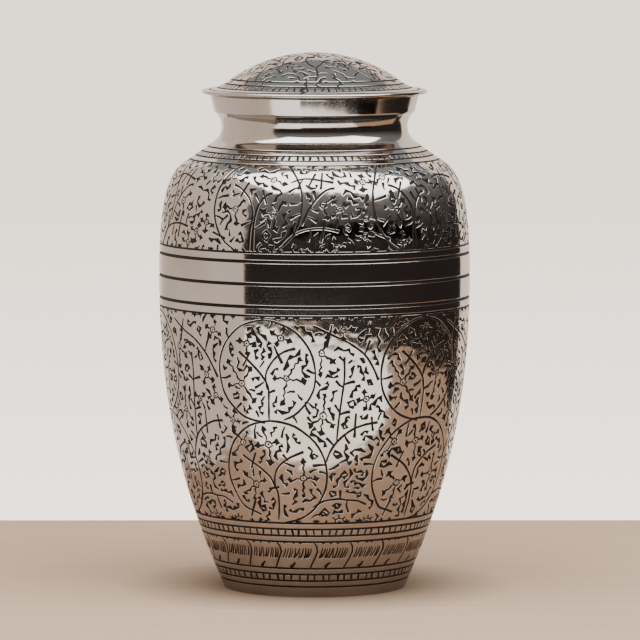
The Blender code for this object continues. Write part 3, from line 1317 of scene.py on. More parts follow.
    def flower(self, centre: Point, arms: Sequence[Point], radius: float = 2.4) -> None:
        """Cut a ragged ring with a dot in it, and an arm with a leaf to each point.

        Args:
            centre: Middle of the ring.
            arms: Where the leaves are.
            radius: Radius of the ring.
        """
        middle = np.array(centre, float)
        uniform = self.hand.uniform
        first = uniform(0, math.tau)
        turn = first + np.arange(5) * math.tau / 5
        reach = radius * np.array([uniform(0.78, 1.15) for _ in turn])
        line = middle + reach[:, None] * np.column_stack((np.cos(turn), np.sin(turn)))
        widths = np.array([uniform(0.55, 0.85) for _ in range(6)])
        widths[-1] = widths[0]
        self.cut(ribbon(np.vstack((line, line[:1])), widths))
        self.cut(patch(middle, first + np.arange(4) * 1.5,
                       np.array([uniform(0.35, 0.8) for _ in range(4)])))
        for arm in arms:
            end = np.array(arm, float)
            ahead = end - middle
            root = middle + ahead * min(0.9, radius / max(float(np.hypot(*ahead)), 1e-6))
            self.arm(root, end, uniform(1.9, 2.7))

    def free_flower(self, centre: np.ndarray, reach: float) -> None:
        """Cut a flower of the builder's hand that fills a gap."""
        first = self.hand.uniform(0, math.tau)
        count = self.hand.choice((3, 4, 4))
        arms = []
        for place in range(count):
            heading = first + (place + self.hand.uniform(-0.22, 0.22)) * math.tau / count
            away = reach * self.hand.uniform(0.82, 1.12)
            arms.append((centre[0] + away * math.cos(heading),
                         centre[1] + away * math.sin(heading)))
        self.flower(tuple(centre), arms, min(1.9, reach * 0.4))

    def scrawl(self, start: np.ndarray, pushes: int, room: float) -> None:
        """Cut a broken line that seeks the free ground, as the edge of a ragged leaf.

        Args:
            start: Where it starts.
            pushes: Most pushes of the graver.
            room: Least distance that each push keeps from other cuts.
        """
        uniform = self.hand.uniform
        line = [start]
        heading = uniform(0.0, math.tau)
        for push in range(pushes):
            best, found = room, None
            for _ in range(self.aims):
                bend = uniform(0.5, 1.75) * self.hand.choice((-1, 1)) if push else 0.0
                trial = heading + bend if push else uniform(0.0, math.tau)
                length = uniform(1.7, 3.4)
                end = line[-1] + length * np.array((math.cos(trial), math.sin(trial)))
                free = self.clearance(self.project(end[None])[0])
                if free > best:
                    best, found = free, (end, trial)
            if found is None:
                break
            line.append(found[0])
            heading = found[1]
        if len(line) > 2:
            widths = np.array([uniform(0.5, 1.0) for _ in line])
            widths[self.hand.choice((0, 1))::2] += uniform(0.8, 1.6)
            self.cut(ribbon(np.array(line), widths))

    def tuft(self, foot: Point, up: float, size: float) -> None:
        """Cut a ragged tuft that grows from a border line."""
        angles, reach = self.ragged(0.0, math.pi, size * 1.25, 7)
        angles = np.append(angles, 1.5 * math.pi) * up
        self.cut(patch(np.array(foot, float), angles[::int(up)],
                       np.append(reach, 0.5)[::int(up)]))

    def umbrella(self, foot: Point, up: float, radius: float) -> None:
        """Cut half a rosette that stands on a border line."""
        root = np.array(foot, float)
        turn = np.linspace(0.0, math.pi, 6)
        line = root + radius * np.column_stack((np.cos(turn), up * np.sin(turn)))
        self.cut(ribbon(line, np.full(6, 0.6)))
        for lean in (-0.8, 0.0, 0.8):
            ray = np.array((math.sin(lean), up * math.cos(lean)))
            self.club(tuple(root + ray * radius), tuple(root + ray * radius * 1.8), 0.9)
        self.tuft(foot, up, radius * 0.6)

    def fill(self, pick: Callable[[random.Random], tuple[np.ndarray, np.ndarray]],
             tries: Sequence[tuple[Mark, int, float, float]]) -> None:
        """Fill what is free with small marks, the largest first.

        Args:
            pick: Gives a random place as local and as sheet coordinates.
            tries: Mark, number of tries, least clearance and largest reach.
        """
        for mark, count, least, most in tries:
            for _ in range(count):
                place, on_sheet = pick(self.hand)
                room = self.clearance(on_sheet)
                if room < least:
                    continue
                reach = min(room + 0.3, most)
                if mark is Mark.FLOWER:
                    self.free_flower(place, reach)
                elif mark is Mark.SCRAWL:
                    self.scrawl(place, self.hand.choice((4, 5, 6, 7)),
                                self.scrawl_room)
                else:
                    heading = self.hand.uniform(0, math.tau)
                    ahead = 0.9 * reach * np.array((math.cos(heading),
                                                    math.sin(heading)))
                    self.club(tuple(place - ahead), tuple(place + ahead),
                              self.hand.uniform(1.0, 1.4))


@dataclass(frozen=True)
class Roundel:
    """A ring of vine: centre, radius, first and last angle in degrees, and its tail."""

    centre: Point
    radius: float
    start: float
    end: float
    tail: tuple[Point, ...] = ()

    def points(self) -> list[Point]:
        """Points along the ring and its tail."""
        count = max(4, round(self.radius * math.radians(self.end - self.start) / 6))
        turn = np.radians(np.linspace(self.start, self.end, count + 1))
        ring = np.array(self.centre) + self.radius * np.column_stack((np.cos(turn),
                                                                      np.sin(turn)))
        return [*map(tuple, ring.tolist()), *self.tail]


Pair = tuple[Point, Point]


@dataclass(frozen=True)
class Vine:
    """One repeat of the vine, as (distance right of its centre, height)."""

    roundels: tuple[Roundel, ...]
    stems: tuple[tuple[Point, ...], ...]
    ticks: tuple[Pair, ...]
    clubs: tuple[Pair, ...]
    flowers: tuple[tuple[Point, tuple[Point, ...]], ...]
    tufts: tuple[tuple[Point, float, float], ...]
    umbrellas: tuple[tuple[Point, float, float], ...] = ()


LOWER_VINE = Vine(
    roundels=(Roundel((0.5, 114.5), 25.3, -70, 268),
              Roundel((3.0, 64.5), 25.7, -85, 225, ((-11.0, 44.5), (-6.5, 42.8)))),
    stems=(((1.5, 90), (2, 98), (2, 105), (1.2, 109), (-2, 114), (-8, 120), (-13, 124)),
           ((1.6, 106), (1.0, 111), (1.5, 115), (5, 120.5), (10, 124.5), (16, 126.5)),
           ((2.5, 40), (3.3, 47), (3.3, 54), (2, 58), (0, 62), (-5, 67), (-9, 69.5),
            (-14, 72.5)),
           ((3.2, 54), (2.5, 60), (4, 66), (9, 71), (14, 73.5), (18, 75)),
           ((34.5, 80.5), (36.5, 92), (38.5, 103), (40, 112), (40, 122)),
           ((28.5, 70), (31.5, 76), (36.5, 81.5), (43, 86), (50, 88.5), (56, 89)),
           ((-60, 137.5), (-50, 132.5), (-42, 129), (-34, 123), (-29, 116),
            (-26, 110.5)),
           ((20, 46.5), (26, 50), (34, 51), (37, 50.5), (43, 50), (47, 47.5))),
    ticks=(((-11, 117), (-7, 124)), ((5.5, 127.5), (9.5, 119)), ((42, 119), (44, 120.5)),
           ((-6.5, 74), (-9.5, 66)), ((-12, 41.5), (-9, 49.5)), ((45, 94), (43.5, 82)),
           ((-51, 138), (-53.5, 127)), ((-1, 56), (4.5, 57)), ((53, 92), (53.3, 85))),
    clubs=(((26, 114), (21.5, 116)), ((25.5, 111), (28, 108)), ((2, 104), (5.5, 105.5)),
           ((0, 109.5), (-5, 106.5)), ((-24, 110.5), (-18, 112)),
           ((-19, 131), (-20, 135.5)), ((-16, 95), (-12.5, 98.5)),
           ((-3.5, 92), (-5, 95)), ((20, 100), (22.5, 94)), ((16.5, 104), (19, 101)),
           ((8, 69.5), (13, 67.5)), ((10, 70.5), (7.5, 73.5)), ((2.5, 57), (-1.5, 54)),
           ((28, 68.5), (22, 68)), ((-22, 59), (-16.5, 60.5)), ((-5.5, 88), (-6, 81)),
           ((9.5, 87.5), (7.5, 82)), ((29.5, 66), (35, 68.5)), ((-23, 68), (-28.5, 68.5)),
           ((5, 53.5), (9.5, 54)), ((25, 53), (23, 56.5)), ((39.5, 107), (35.5, 110.5)),
           ((39.5, 108.5), (45, 110)), ((37, 94), (34.5, 98.5)), ((36.5, 93.5), (42, 95)),
           ((40, 120), (37.5, 122.5)), ((34, 51), (34.5, 55.5)), ((37.5, 50.5), (37.5, 44)),
           ((-34, 123), (-31.5, 130)), ((38.5, 84), (41, 79)), ((33, 78), (29.5, 82)),
           ((24, 66), (20, 64.5))),
    flowers=(((-12, 108.5), ((-19, 119), (-7, 115.5), (-19, 107), (-5.5, 100))),
             ((11.5, 111.5), ((5.5, 111.5), (20, 110.5), (18, 121), (9, 99.5))),
             ((-7.5, 58), ((-13, 63), (-14, 53), (-3, 60), (-9, 50.5))),
             ((17, 61.5), ((10, 60.5), (17.5, 70), (23, 61.5), (16, 52.5))),
             ((0.5, 78.5), ((-1.5, 86), (5, 79.5), (1, 69.5), (-5, 77.5))),
             ((-13, 79), ((-19, 72.5), (-10.5, 84), (-18, 84.5))),
             ((28.5, 93), ((22.5, 88.5), (30, 103), (33, 88), (27, 84.5))),
             ((29, 124), ((32, 132), (28, 114), (34.5, 120)))),
    tufts=(((12, 39), 1, 2.4), ((21, 39), 1, 2.0), ((-31, 39), 1, 2.4), ((-24, 39), 1, 1.8),
           ((43, 39), 1, 2.0), ((-12, 39), 1, 1.6), ((0, 141.6), -1, 2.2),
           ((17, 141.6), -1, 2.6), ((-16, 141.6), -1, 2.0), ((27, 141.6), -1, 2.2),
           ((-28, 141.6), -1, 2.4), ((36, 141.6), -1, 2.2), ((-37, 141.6), -1, 2.0),
           ((44, 141.6), -1, 2.4), ((8, 141.6), -1, 1.6)),
    umbrellas=(((32.5, 38.8), 1, 2.4), ((-20, 38.8), 1, 2.0)))

UPPER_VINE = Vine(
    roundels=(Roundel((0.0, 194.5), 23.6, -62, 62), Roundel((0.0, 194.5), 23.6, 118, 242)),
    stems=(((-2.5, 173), (-2.2, 182), (-1.2, 190), (-1.8, 194), (-4, 199), (-9, 203.5),
            (-13, 205)),
           ((-0.4, 173), (-0.6, 184), (0, 190), (1.5, 196), (5, 200.5), (8, 201.5)),
           ((16, 206.5), (22, 208.5), (30, 207.8), (37, 206.5)),
           ((14, 175.5), (19, 181), (25, 184), (34, 184.8), (42, 183.5)),
           ((24, 186), (28, 196), (34, 203), (38, 204))),
    ticks=(((-9, 199), (-5, 206.5)), ((30, 211.5), (31.5, 203.5)), ((35, 189), (33.5, 178)),
           ((-24, 182), (-16, 179)), ((3, 203), (5.5, 196.5)), ((25, 204), (27, 211))),
    clubs=(((-22.5, 198), (-15.5, 200)), ((-23.4, 190), (-17.5, 188)),
           ((-19.5, 185.5), (-15, 190.5)), ((23, 198), (17.5, 196.5)),
           ((23.4, 192), (18, 189.5)), ((20.5, 204.5), (16, 202)),
           ((-1.4, 188), (-7, 185.5)), ((-0.5, 184), (5.5, 187.5)),
           ((27, 195), (31.5, 193)),
           ((29.5, 198.5), (28, 203)), ((26, 190.5), (31, 188)), ((20, 182), (20.5, 188)),
           ((28, 184.5), (27, 178.5)), ((40, 184), (41, 190)), ((2, 197), (-1, 201.5)),
           ((22, 208.5), (20.5, 203.5))),
    flowers=(((-11, 193.5), ((-17, 194.5), (-6.5, 197.5), (-10, 186.5))),
             ((9.5, 191.5), ((4.5, 192.5), (14.5, 197), (11, 184.5))),
             ((7.5, 208), ((1, 209.5), (13, 206))),
             ((-14.5, 209), ((-20, 206), (-8, 211))),
             ((33.5, 196), ((38, 199.5), (36, 190)))),
    tufts=(((6, 173.2), 1, 2.2), ((-10, 173.2), 1, 2.4), ((-17, 173.2), 1, 1.8),
           ((13, 173.2), 1, 1.8), ((27, 173.2), 1, 2.4), ((36, 173.2), 1, 2.0),
           ((-25, 173.2), 1, 2.0), ((-5, 214.2), -1, 2.0), ((4, 214.2), -1, 1.8),
           ((14, 214.2), -1, 2.0), ((-15, 214.2), -1, 1.8), ((22, 214.2), -1, 1.8),
           ((30, 214.2), -1, 2.2), ((-23, 214.2), -1, 2.0)))

# What fills the ground between the stems, in this order: the mark, how often it is
# tried, its least clearance from other cuts and its largest reach, in millimetres.
LOWER_GROUND = ((Mark.FLOWER, 500, 3.5, 5.4), (Mark.SCRAWL, 2300, 2.2, 9.0),
                (Mark.SCRAWL, 3200, 1.45, 9.0), (Mark.CLUB, 1500, 1.5, 2.2))
UPPER_GROUND = ((Mark.FLOWER, 180, 3.5, 5.0), (Mark.SCRAWL, 1300, 2.2, 9.0),
                (Mark.SCRAWL, 1600, 1.45, 9.0), (Mark.CLUB, 700, 1.5, 2.2))
DOME_GROUND = ((Mark.FLOWER, 60, 3.5, 4.6), (Mark.SCRAWL, 900, 2.3, 9.0),
               (Mark.CLUB, 400, 1.7, 2.6))

# Seeds of the graver's hand
BODY_SEED = 20417
LID_SEED = 771


# Finishes

@dataclass(frozen=True)
class SocketSpec:
    """One socket of a shader node group."""

    name: str
    kind: str
    default: float | None = None


class ShaderGroup:
    """A shader node group that several materials share."""

    name: str = ""
    inputs: tuple[SocketSpec, ...] = ()
    outputs: tuple[SocketSpec, ...] = ()

    def __init__(self) -> None:
        """Build the group."""
        self.tree = bpy.data.node_groups.new(self.name, "ShaderNodeTree")
        for spec in self.inputs:
            made = self.tree.interface.new_socket(name=spec.name, in_out="INPUT",
                                                  socket_type=spec.kind)
            if spec.default is not None:
                made.default_value = spec.default
        for spec in self.outputs:
            self.tree.interface.new_socket(name=spec.name, in_out="OUTPUT",
                                           socket_type=spec.kind)
        self.given = self.tree.nodes.new("NodeGroupInput")
        self.out = self.tree.nodes.new("NodeGroupOutput")
        self.wire()

    def wire(self) -> None:
        """Add and link the group's nodes."""
        raise NotImplementedError

    def noise(self, scale: bpy.types.NodeSocket | float, detail: float,
              roughness: float) -> bpy.types.NodeSocket:
        """Add a noise on object coordinates and return its value."""
        where = add_node(self.tree, "ShaderNodeTexCoord")
        noise = add_node(self.tree, "ShaderNodeTexNoise",
                         {"Detail": detail, "Roughness": roughness})
        self.tree.links.new(where.outputs["Object"], noise.inputs["Vector"])
        if isinstance(scale, bpy.types.NodeSocket):
            self.tree.links.new(scale, noise.inputs["Scale"])
        else:
            noise.inputs["Scale"].default_value = scale
        return noise.outputs[0]

    def ramp(self, value: bpy.types.NodeSocket, low: float, high: float
             ) -> bpy.types.NodeSocket:
        """Stretch a value so that low becomes 0 and high becomes 1."""
        made = add_node(self.tree, "ShaderNodeMapRange",
                        {"From Min": low, "From Max": high})
        self.tree.links.new(value, made.inputs["Value"])
        return made.outputs[0]


class FineGrain(ShaderGroup):
    """Grain of a polished or blackened surface, as a mask and a height."""

    name = "fine_grain"
    inputs = (SocketSpec("Scale", "NodeSocketFloat", 900.0),)
    outputs = (SocketSpec("Mask", "NodeSocketFloat"),
               SocketSpec("Height", "NodeSocketFloat"))

    def wire(self) -> None:
        """One fine noise, stretched for the mask."""
        value = self.noise(self.given.outputs["Scale"], 3.0, 0.6)
        link_chain(self.tree, (self.ramp(value, 0.35, 0.65), self.out.inputs["Mask"]),
                   (value, self.out.inputs["Height"]))


class Tarnish(ShaderGroup):
    """Cloudy patches where the plating has dulled."""

    name = "tarnish"
    inputs = (SocketSpec("Scale", "NodeSocketFloat", 22.0),)
    outputs = (SocketSpec("Mask", "NodeSocketFloat"),)

    def wire(self) -> None:
        """A broad noise, mostly low."""
        value = self.noise(self.given.outputs["Scale"], 5.0, 0.55)
        link_chain(self.tree, (self.ramp(value, 0.42, 0.75), self.out.inputs["Mask"]))


Colour = tuple[float, float, float, float]


# Height in millimetres, and how strongly the surface there was worked by hand.
WORKED = ((0.0, 0.15), (37.5, 0.15), (39.5, 1.0), (140.8, 1.0), (142.9, 0.06),
          (171.7, 0.06), (173.8, 1.0), (209.0, 1.0), (213.0, 0.06), (246.0, 0.06),
          (249.0, 1.0))


@dataclass(frozen=True)
class Metal:
    """A plated or blackened metal: its colours, gloss and how the surface was worked."""

    name: str
    colour: Colour
    dulled: Colour
    metallic: float
    roughness: tuple[float, float]
    hand_work: float
    grain: float
    sheen: float = 0.5

    def make(self, grain: FineGrain, tarnish: Tarnish) -> bpy.types.Material:
        """Build the material.

        Args:
            grain: The shared grain.
            tarnish: The shared patches of tarnish.

        Returns:
            The material.
        """
        made = bpy.data.materials.new(self.name)
        made.use_nodes = True
        made.diffuse_color = self.colour
        tree = made.node_tree
        shader = tree.nodes["Principled BSDF"]
        shader.inputs["Metallic"].default_value = self.metallic
        shader.inputs["Specular IOR Level"].default_value = self.sheen
        fine = add_node(tree, "ShaderNodeGroup", node_tree=grain.tree)
        patches = add_node(tree, "ShaderNodeGroup", node_tree=tarnish.tree)
        mix = add_node(tree, "ShaderNodeMix", {6: self.colour, 7: self.dulled},
                       data_type="RGBA")
        gloss = add_node(tree, "ShaderNodeMapRange",
                         {"To Min": self.roughness[0], "To Max": self.roughness[1]})
        both = add_node(tree, "ShaderNodeMath", {1: 0.45}, operation="MULTIPLY_ADD")
        where = add_node(tree, "ShaderNodeTexCoord")
        wave = add_node(tree, "ShaderNodeTexNoise", {"Scale": 130.0, "Detail": 1.0})
        split = add_node(tree, "ShaderNodeSeparateXYZ")
        upward = add_node(tree, "ShaderNodeMath", {1: CAD_BOX[1][2]}, operation="DIVIDE")
        zones = add_node(tree, "ShaderNodeValToRGB")
        stops = zones.color_ramp.elements
        for height, share in WORKED[2:]:
            stops.new(height * MM / CAD_BOX[1][2])
        for stop, (height, share) in zip(stops, WORKED):
            stop.position = height * MM / CAD_BOX[1][2]
            stop.color = (share, share, share, 1.0)
        worked = add_node(tree, "ShaderNodeMath", operation="MULTIPLY")
        bump = add_node(tree, "ShaderNodeBump", {"Distance": self.hand_work})
        fine_bump = add_node(tree, "ShaderNodeBump", {"Distance": self.grain})
        link_chain(
            tree,
            (patches.outputs["Mask"], mix.inputs[0]),
            (mix.outputs[2], shader.inputs["Base Color"]),
            (fine.outputs["Mask"], both.inputs[0]),
            (patches.outputs["Mask"], both.inputs[2]),
            (both.outputs[0], gloss.inputs["Value"]),
            (gloss.outputs[0], shader.inputs["Roughness"]),
            (where.outputs["Object"], wave.inputs["Vector"]),
            (where.outputs["Object"], split.inputs[0]),
            (split.outputs["Z"], upward.inputs[0]),
            (upward.outputs[0], zones.inputs[0]),
            (zones.outputs[0], worked.inputs[0]),
            (wave.outputs[0], worked.inputs[1]),
            (worked.outputs[0], bump.inputs["Height"]),
            (fine.outputs["Height"], fine_bump.inputs["Height"]),
            (bump.outputs[0], fine_bump.inputs["Normal"]),
            (fine_bump.outputs[0], shader.inputs["Normal"]))
        return made


NICKEL = Metal("bright_nickel", (0.61, 0.57, 0.525, 1.0), (0.48, 0.42, 0.365, 1.0), 1.0,
               (0.07, 0.15), 0.00022, 0.0000012)
BLACKENED = Metal("blackened_groove", (0.012, 0.011, 0.011, 1.0),
                  (0.03, 0.026, 0.024, 1.0), 0.0, (0.42, 0.6), 0.00005, 0.00001, 0.15)


# The urn

@dataclass
class UrnBody:
    """The vase: turned foot, neck and inside, and the engraved outside."""

    shape: BodyShape = field(default_factory=BodyShape)
    reference: float = 77.5
    repeats: tuple[float, ...] = (-82.4, -19.1, 44.2, 102.55, 160.9, 219.25)
    upper_shift: float = -3.5
    lines: tuple[float, ...] = (5.4, 8.5, 11.9, 15.0, 28.9, 32.0, 35.4, 38.5, 141.85,
                                172.75)
    lower_panel: tuple[float, float] = (38.5, 141.85)
    upper_panel: tuple[float, float] = (172.75, 214.5)
    dash_bands: tuple[tuple[float, float], ...] = ((8.5, 11.9), (32.0, 35.4))
    leaf_heights: tuple[float, float] = (15.0, 28.9)
    belt_middle: float = 157.3
    neck_pitch: float = 3.65
    leaf_units: int = 20

    def __post_init__(self) -> None:
        """Work out the outline."""
        self.outline = self.shape.outline()
        self.shoulder = self.outline.where(1, self.shape.shoulder[1])
        self.sheet_end = self.shoulder + 3 * self.neck_pitch + 1.4

    def length(self, height: float) -> float:
        """Length along the outline at a height below the neck."""
        return float(np.interp(height, self.outline.path[:, 1], self.outline.lengths))

    def rings(self) -> list[RingGroove]:
        """Border lines, belt grooves and neck lines."""
        belt = self.shape.belt_pitch
        return [*(RingGroove(self.length(height)) for height in self.lines),
                *(RingGroove(self.length(self.shape.belly[1] + step * belt), 1.6, 0.5)
                  for step in (-1, 0, 1)),
                *(RingGroove(self.shoulder + step * self.neck_pitch)
                  for step in range(4))]

    def centred(self, azimuth: float) -> Callable[[np.ndarray], np.ndarray]:
        """A projection of true millimetres round an azimuth, in radians, to the sheet."""
        def project(points: np.ndarray) -> np.ndarray:
            """Spread the distances round the urn to the sheet's scale."""
            radius = self.outline.at(points[:, 1])[:, 0]
            turn = (azimuth + math.pi) % math.tau + points[:, 0] / radius
            return np.column_stack((self.reference * turn, points[:, 1]))
        return project

    def vine_repeat(self, graver: Graver, vine: Vine) -> None:
        """Engrave one repeat of a vine round the graver's centre."""
        def at(point: Point) -> Point:
            """Height to length along the outline."""
            return point[0], self.length(point[1])

        for roundel in vine.roundels:
            graver.stem([at(point) for point in roundel.points()], 0.95, 1.1, 3.0)
        for stem in vine.stems:
            graver.stem([at(point) for point in stem])
        for first, second in vine.ticks:
            graver.tick(at(first), at(second))
        for root, tip in vine.clubs:
            graver.club(at(root), at(tip))
        for centre, arms in vine.flowers:
            graver.flower(at(centre), [at(arm) for arm in arms],
                          graver.hand.uniform(1.6, 2.1))
        for foot, up, size in vine.tufts:
            graver.tuft(at(foot), up, size * graver.hand.uniform(0.8, 1.15))
        for foot, up, size in vine.umbrellas:
            graver.umbrella(at(foot), up, size)

    def vine_panel(self, graver: Graver, vine: Vine, low: float, high: float,
                   shift: float, tries: Sequence[tuple[Mark, int, float, float]]) -> None:
        """Engrave a whole panel.

        Args:
            graver: The graver.
            vine: Its vine.
            low: Height of its lower border line.
            high: Height of its upper border line.
            shift: Degrees by which its repeats lie further round.
            tries: What fills the ground.
        """
        bottom, top = self.length(low), self.length(high)
        graver.limits = (bottom + 0.15, top - 0.15)
        for azimuth in self.repeats:
            graver.project = self.centred(math.radians(azimuth + shift))
            self.vine_repeat(graver, vine)

        def pick(hand: random.Random) -> tuple[np.ndarray, np.ndarray]:
            """A random place in the panel, with the graver's centre moved there."""
            azimuth = hand.uniform(0.0, math.tau)
            place = np.array((0.0, hand.uniform(bottom + 1.2, top - 1.2)))
            graver.project = self.centred(azimuth)
            return place, graver.project(place[None])[0]

        graver.fill(pick, tries)
        graver.limits = None

    def dash_band(self, graver: Graver, rows: StrokeRow, low: float, high: float,
                  count: int, seed: int) -> None:
        """Engrave a band of short upright dashes between two lengths."""
        middle = (low + high) / 2
        half = (high - low) / 2 + 0.25
        around = math.tau * float(self.outline.at(middle)[0])
        stencil = ribbon(np.array(((0.0, -half), (0.0, 0.0), (0.0, half))),
                         np.array((0.6, 0.95, 0.8)))
        stretch = self.reference / float(self.outline.at(middle)[0])
        graver.limits = (low, high)
        graver.project = lambda points: points * (stretch, 1.0) + (0.0, middle)
        for stroke in rows.strokes(stencil, count, around / count, 0.22, 0.14, seed):
            graver.cut(stroke)
        graver.limits = None

    def leaf_band(self, graver: Graver, rows: StrokeRow, low: float, high: float) -> None:
        """Engrave the band of curling leaves between two lengths."""
        graver.limits = (low, high)
        hand = graver.hand
        for unit in range(self.leaf_units):
            azimuth = math.tau * (unit + hand.uniform(-0.06, 0.06)) / self.leaf_units
            project = self.centred(azimuth)
            graver.project = project
            graver.stem([(-0.6, high), (0.9, high - 2.4), (1.3, high - 5.2),
                         (0.0, high - 9.2), (-2.2, low + 0.6)], 0.95, 0.9, 3.0)
            hatch = ribbon(np.array(((0.9, 3.0), (0.3, 0.0), (-0.9, -3.0))),
                           np.array((0.35, 0.68, 0.85)))
            start = np.array((2.9, (low + high) / 2 + 1.3))
            graver.project = lambda points, begin=start, to=project: to(points + begin)
            for stroke in rows.strokes(hatch, 11, 1.28, 0.1, 0.16, 300 + unit):
                graver.cut(stroke)
            graver.project = project
            graver.club((7.8, low + 3.6), (5.0, low + 0.6), 1.6, 0.8)
            for across in (4.0, 8.2, 11.6):
                x = across + hand.uniform(-0.7, 0.7)
                graver.cut(patch(np.array((x, high)), np.array((-0.1, math.pi + 0.1, 4.6)),
                                 np.array((1.1, 1.1, hand.uniform(1.3, 1.8)))))
        graver.limits = None

    def inner_wall(self, low: float, high: float) -> np.ndarray:
        """Rings of the inside wall between two heights, from the top down."""
        shape, outline = self.shape, self.outline
        fine = np.linspace(0.0, outline.total, 900)
        inner = outline.at(fine) - shape.wall * outline.normal(fine)
        inner = inner[(inner[:, 1] > shape.base_recess + shape.wall + shape.chamfer)
                      & (inner[:, 1] < shape.waist_height)
                      & (inner[:, 0] > shape.mouth_radius)]
        bore = Outline.through(inner)
        first = max(0.0, float(np.interp(low, bore.path[:, 1], bore.lengths)))
        last = float(np.interp(high, bore.path[:, 1], bore.lengths))
        return bore.at(bore.rows(first, last, 14.0, math.radians(9)))[::-1]

    def groove_floor(self, ring: RingGroove) -> np.ndarray:
        """Radius and height of the floor in the middle of a ring groove."""
        return (self.outline.at(ring.place)
                - ring.depth * self.outline.normal(ring.place))[None]

    def turned_parts(self, lathe: Lathe, low: RingGroove | None, high: RingGroove | None
                     ) -> list[tuple[np.ndarray, list]]:
        """Turn what closes one part of the body behind its engraved sheet.

        Args:
            lathe: Turns the profiles.
            low: Groove at which the part begins, or nothing for the foot.
            high: Groove at which it ends, or nothing for the mouth.

        Returns:
            The turned parts.
        """
        shape, outline = self.shape, self.outline
        floor = shape.base_recess + shape.wall
        start = floor if low is None else float(outline.at(low.place)[1])
        end = shape.waist_height if high is None else float(outline.at(high.place)[1])
        if high is None:
            outside = outline.at(outline.rows(self.sheet_end, outline.total, 3.0,
                                              math.radians(5)))
            top = np.vstack((outside, (
                (shape.collar_radius - shape.chamfer, shape.mouth_height),
                (shape.mouth_radius + shape.chamfer, shape.mouth_height),
                (shape.mouth_radius, shape.mouth_height - shape.chamfer),
                (shape.mouth_radius, shape.waist_height))))
        else:
            top = self.groove_floor(high)
        wall = self.inner_wall(start, end)
        if low is not None:
            return [lathe.turn(np.vstack((top, wall, self.groove_floor(low))))]
        ring = shape.foot_radius - shape.foot_ring_width
        base = ((wall[-1, 0] - shape.chamfer, floor), (0.0, floor))
        below = np.array([(0.0, shape.base_recess), (20.0, shape.base_recess),
                          (ring - shape.chamfer, shape.base_recess), (ring, 0.0),
                          (shape.foot_radius, 0.0)])
        return [lathe.turn(np.vstack((top, wall, base))), lathe.turn(below)]

    def engrave(self, graver: Graver, rows: StrokeRow) -> None:
        """Engrave both vine panels and the four narrow bands."""
        self.vine_panel(graver, LOWER_VINE, *self.lower_panel, 0.0, LOWER_GROUND)
        self.vine_panel(graver, UPPER_VINE, *self.upper_panel, self.upper_shift,
                        UPPER_GROUND)
        for (low, high), count, seed in zip(self.dash_bands, (82, 100), (11, 12)):
            self.dash_band(graver, rows, self.length(low), self.length(high), count, seed)
        self.dash_band(graver, rows, self.shoulder + self.neck_pitch,
                       self.shoulder + 2 * self.neck_pitch, 105, 13)
        self.leaf_band(graver, rows, *map(self.length, self.leaf_heights))

    def build(self, lathe: Lathe, rows: StrokeRow,
              materials: Sequence[bpy.types.Material]) -> list[bpy.types.Object]:
        """Make the dressed body in three parts that meet on the floors of two grooves.

        Args:
            lathe: Turns the plain parts.
            rows: Repeats the strokes of the bands.
            materials: Bright metal and blackened grooves.

        Returns:
            The pieces, from the foot up.
        """
        rings = sorted(self.rings(), key=lambda ring: ring.place)
        whole = RoundSheet(Round(self.outline, self.reference), rings, 0.0,
                           self.sheet_end)
        graver = Graver(whole, BODY_SEED)
        self.engrave(graver, rows)
        LOG.info("body: %d strokes", len(whole.strokes))
        panel_foot, belt = (
            min(rings, key=lambda ring, at=self.length(height): abs(ring.place - at))
            for height in (self.lower_panel[0], self.belt_middle))
        pieces = []
        for name, low, high in (("engraved_foot", None, panel_foot),
                                ("engraved_belly", panel_foot, belt),
                                ("engraved_shoulder", belt, None)):
            start = low.place if low else 0.0
            end = high.place if high else self.sheet_end
            sheet = RoundSheet(whole.wrap, [ring for ring in rings
                                            if start - 0.1 < ring.place < end + 0.1],
                               start, end)
            sheet.strokes = [stroke for stroke in whole.strokes
                             if stroke.edge[:, 1].max() > start
                             and stroke.edge[:, 1].min() < end]
            shell = Shell()
            shell.add(*sheet.part())
            for part in self.turned_parts(lathe, low, high):
                shell.add(*part)
            pieces.append(shell.build(name, materials))
        return pieces


